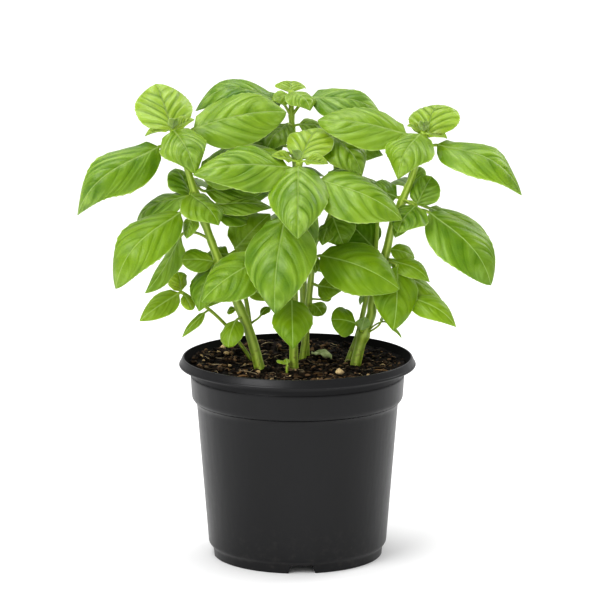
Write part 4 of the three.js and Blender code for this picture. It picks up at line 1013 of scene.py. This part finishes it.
def leaf_material(name, deep, fresh, young, groove, line, groove_share, line_share, roughness):
    """A leaf face. Its green goes from deep to fresh by leaf, in soft clouds and in streaks between the
    veins, and towards young near the shoot's tip. The streaks follow the bump: fresher where it rises, as
    painted light, and deeper where it sinks, as painted shade. On the upper face the grooves over the side
    veins are painted deeper, as shade, and on the underside they are the veins' own paler green. The raised
    streaks are paler and the shine is stronger away from the grooves: painted sheen. The midrib is pale, the
    margin has a pale line of painted rim light, and there is a net of fine veins."""
    material, tree, shader = new_material(name, {
        "IOR": 1.45, "Subsurface Weight": 0.4, "Subsurface Radius": (0.8, 1.0, 0.15),
        "Subsurface Scale": 0.0012,
    })
    place = add_node(tree, "TexCoord").outputs["Object"]
    marks = {
        mark: add_node(tree, "Attribute", attribute_name=mark).outputs["Fac"]
        for mark in ("youth", "shade", "groove", "line", "across_veins", "along_veins", "pleat")
    }
    clouds = add_node(tree, "TexNoise", {"Vector": place, "Scale": scale_of(CLOUDS), "Detail": 3}).outputs[0]
    specks = add_node(tree, "TexNoise", {"Vector": place, "Scale": scale_of(SPECKS), "Detail": 3}).outputs[0]
    net = add_node(
        tree, "TexVoronoi", {"Vector": place, "Scale": scale_of(VEIN_NET)}, feature="DISTANCE_TO_EDGE",
    ).outputs["Distance"]
    on_leaf = add_node(
        tree, "CombineXYZ", {0: marks["across_veins"], 1: marks["along_veins"], 2: marks["shade"]},
    ).outputs[0]
    stretched = add_node(tree, "Mapping", {"Vector": on_leaf, "Scale": LEAF_STREAKS}).outputs[0]
    streaks = add_node(tree, "TexNoise", {"Vector": stretched, "Scale": 1, "Detail": 2}).outputs[0]

    # The streaks are also the bump's height: where they rise the green is painted fresher, as light, and
    # where they sink deeper, as shade.
    centred = add_node(tree, "Math", {0: streaks, 1: 1.3, 2: -0.7}, operation="MULTIPLY_ADD").outputs[0]
    painted_streak_shading = add_node(tree, "Math", {0: centred, 1: marks["pleat"]}, operation="MULTIPLY").outputs[0]
    clouded = add_node(tree, "Math", {0: marks["shade"], 1: clouds}, operation="ADD").outputs[0]
    mixed = add_node(tree, "Math", {0: clouded, 1: painted_streak_shading}, operation="ADD").outputs[0]
    share = add_node(tree, "MapRange", {"Value": mixed, "From Min": 0.55, "From Max": 1.25}).outputs[0]
    green = add_node(tree, "Mix", {0: share, 6: linear(deep), 7: linear(fresh)}, data_type="RGBA").outputs[2]
    aged = add_node(tree, "Mix", {0: marks["youth"], 6: green, 7: linear(young)}, data_type="RGBA").outputs[2]
    # On the raised streaks of puckered leaves a pale green is mixed in: painted sheen.
    sheen_streaks = add_node(
        tree, "MapRange", {"Value": streaks, "From Min": 0.48, "From Max": 0.72, "To Max": 0.55},
    ).outputs[0]
    painted_sheen = add_node(tree, "Math", {0: sheen_streaks, 1: marks["pleat"]}, operation="MULTIPLY").outputs[0]
    with_painted_sheen = add_node(tree, "Mix", {0: painted_sheen, 6: aged, 7: linear(line)}, data_type="RGBA").outputs[2]
    # On the upper face the groove colour paints shade into the grooves over the side veins; on the underside
    # it is the veins' own paler green.
    in_groove = add_node(tree, "Math", {0: marks["groove"], 1: groove_share}, operation="MULTIPLY").outputs[0]
    deepened = {0: in_groove, 6: with_painted_sheen, 7: linear(groove)}
    grooved = add_node(tree, "Mix", deepened, data_type="RGBA").outputs[2]
    # The pale line on the midrib is its own colour; on the margin it is painted rim light.
    on_line = add_node(
        tree, "MapRange", {"Value": marks["line"], "From Min": 0.45, "From Max": 0.12, "To Max": line_share},
        interpolation_type="SMOOTHSTEP",
    ).outputs[0]
    lined = add_node(tree, "Mix", {0: on_line, 6: grooved, 7: linear(line)}, data_type="RGBA").outputs[2]
    tree.links.new(lined, shader.inputs["Base Color"])

    uneven = {"Value": specks, "To Min": roughness - 0.06, "To Max": roughness + 0.1}
    gloss = add_node(tree, "MapRange", uneven).outputs[0]
    tree.links.new(gloss, shader.inputs["Roughness"])
    # The shine is turned down in the grooves and up on puckered leaves away from them: painted shade and
    # sheen.
    raised = add_node(tree, "Math", {0: marks["pleat"], 1: marks["groove"]}, operation="SUBTRACT").outputs[0]
    shine_by_groove = {"Value": raised, "From Max": 0.7, "To Min": 0.15, "To Max": 0.6}
    groove_dulled_shine = add_node(tree, "MapRange", shine_by_groove).outputs[0]
    tree.links.new(groove_dulled_shine, shader.inputs["Specular IOR Level"])

    netted = add_node(tree, "Bump", {"Height": net, "Strength": 0.5, "Distance": 0.0003}).outputs[0]
    dimpled = add_node(
        tree, "Bump", {"Height": clouds, "Strength": 0.4, "Distance": 0.0012, "Normal": netted},
    ).outputs[0]
    drawn_out = add_node(
        tree, "Bump", {"Height": streaks, "Strength": marks["pleat"], "Distance": 0.0014, "Normal": dimpled},
    ).outputs[0]
    tree.links.new(drawn_out, shader.inputs["Normal"])
    return material


# Basil leaf: the upper face is satin and bright green, with painted sheen on its swellings and painted
# shade in its vein grooves; the underside is paler and duller. Some light passes through the blade, so it
# glows where a lamp is behind it.
leaf_upper = leaf_material(
    "basil leaf, upper face", deep="#3C6600", fresh="#72910A", young="#94AC26", groove="#1E4E00",
    line="#A6C26E", groove_share=0.7, line_share=0.6, roughness=0.36,
)
leaf_under = leaf_material(
    "basil leaf, underside", deep="#5C7D36", fresh="#77944E", young="#90A552", groove="#9CB474",
    line="#A9BF84", groove_share=0.4, line_share=0.5, roughness=0.55,
)

# Basil stems and stalks are juicy and a little translucent, streaked lengthwise, and olive with corky
# flecks on the lowest 20 mm over the soil. Their ribs and a stalk's edges are painted pale green, as light,
# and between the ribs and along a stalk's middle they are painted deeper, as shade.
CORKY_HEIGHT = 128, 106
stalk_green, tree, shader = new_material("basil stem, ribbed green", {
    "Roughness": 0.4, "Subsurface Weight": 0.2, "Subsurface Radius": (0.8, 1.0, 0.2),
    "Subsurface Scale": 0.0012,
})
place = add_node(tree, "TexCoord").outputs["Object"]
height = add_node(tree, "SeparateXYZ", {0: place}).outputs["Z"]
youth = add_node(tree, "Attribute", attribute_name="youth").outputs["Fac"]
painted_ridge_light = add_node(tree, "Attribute", attribute_name="painted_ridge_light").outputs["Fac"]
drawn = add_node(tree, "Mapping", {"Vector": place, "Scale": (1, 1, 0.12)}).outputs[0]
streaks = add_node(tree, "TexNoise", {"Vector": drawn, "Scale": scale_of(STREAKS), "Detail": 3}).outputs[0]
flecks = add_node(tree, "TexNoise", {"Vector": place, "Scale": scale_of(FLECKS), "Detail": 4}).outputs[0]
striped = add_node(tree, "Math", {0: streaks, 1: 0.45, 2: -0.22}, operation="MULTIPLY_ADD").outputs[0]
# Pale on the ridges, as painted light, and deeper between them, as painted shade, with the lengthwise streaks
# mixed in.
painted_ridge_share = add_node(tree, "Math", {0: painted_ridge_light, 1: striped}, operation="ADD", use_clamp=True).outputs[0]
ribs = {0: painted_ridge_share, 6: linear("#789420"), 7: linear("#A9BF50")}
streaked = add_node(tree, "Mix", ribs, data_type="RGBA").outputs[2]
lively = add_node(tree, "Mix", {0: youth, 6: streaked, 7: linear("#9CB83A")}, data_type="RGBA").outputs[2]
corky = add_node(
    tree, "MapRange", {"Value": height, "From Min": CORKY_HEIGHT[0] * MM, "From Max": CORKY_HEIGHT[1] * MM},
).outputs[0]
in_flecks = add_node(tree, "MapRange", {"Value": flecks, "From Min": 0.5, "From Max": 0.68}).outputs[0]
at_foot = add_node(tree, "Math", {0: corky, 1: in_flecks}, operation="MULTIPLY").outputs[0]
barked = add_node(tree, "Mix", {0: at_foot, 6: lively, 7: linear("#6B6A30")}, data_type="RGBA").outputs[2]
ribbed = add_node(tree, "Bump", {"Height": streaks, "Strength": 0.4, "Distance": 0.0003}).outputs[0]
tree.links.new(barked, shader.inputs["Base Color"])
tree.links.new(ribbed, shader.inputs["Normal"])

for number, (node_name, shoots) in enumerate(PLANTS.items()):
    plant = grown("basil_" + node_name, shoots, PLANT_SEED + number)
    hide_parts(node_name)


# The seedling: one basil seed that came up late in front of the middle stems. It is a thread of a pale
# green stem with its first two round leaves, grown in the same way as the large plants.

SEEDLING = dict(
    axis=[(-5.2, -21.5, 99), (-5.7, -21, 106.3), (-5.7, -20.5, 110.5)],
    radius=(0.7, 0.6),
    youth_from=110,
    leaves=[
        (110, (-6.2, -20.7, 111), (-11.4, -21, 113), 4, 0.4, -20, "round"),
        (110, (-5.6, -20.1, 111), (-6, -16, 113), 3.4, 0.4, 0, "round"),
    ],
)
seedling = grown("basil_seedling", [SEEDLING], SEEDLING_SEED)
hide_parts("seedling")


# The fallen seed leaf: a small withered leaf, grey green and limp, that dropped on the soil between the
# middle and the right stems. It is one thin crumpled sheet and lies loose.

# The leaf's ends on the soil, its sizes, how far it lies over the soil and how far its rim turns up.
FALLEN_LEAF = dict(base=(9, 21), tip=(19, 7), width=8, thickness=0.5, lift=1.3, rim=0.9)
CRUMPLES = dict(height=2.4, size=2.5, seed=9)


def fallen_skin():
    """A thin sheet over the soil from base to tip, its width following the ovate outline. It lies on the
    soil's broad shape, is crumpled by noise and turns up to its rim by v^2."""
    base, tip = np.array(FALLEN_LEAF["base"], float), np.array(FALLEN_LEAF["tip"], float)
    chord = tip - base
    aside = np.array([chord[1], -chord[0]]) / np.linalg.norm(chord)
    t = np.linspace(0.02, 0.98, 26)[:, None]
    v = np.linspace(-1, 1, 15)
    half = np.maximum(0.4, FALLEN_LEAF["width"] / 2 * blade_outline("ovate", t))
    x = base[0] + chord[0] * t + aside[0] * half * v
    y = base[1] + chord[1] * t + aside[1] * half * v
    crumples = CRUMPLES["height"] * value_noise(x, y, CRUMPLES["size"], CRUMPLES["seed"])
    z = soil_lie(x, y) + FALLEN_LEAF["lift"] + crumples + FALLEN_LEAF["rim"] * v**2
    up = FALLEN_LEAF["thickness"] / 2
    return folded_round(np.stack([x, y, z + up], -1), np.stack([x, y, z - up], -1))


# A withered seed leaf is pale and grey green, soft and dull, with drier and paler patches 2 mm wide.
withered = compost("withered seed leaf", "#6C7C48", "#C4CE9C", size=2.2, roughness=0.7, bump=0.4)
points = fallen_skin()
fallen = make_piece(
    "fallen_seed_leaf", points.reshape(-1, 3), skin_faces(*points.shape[:2]), [withered],
    marks=dict(tone=np.full(points.shape[0] * points.shape[1], 0.35)),
)
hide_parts("fallen_leaf")
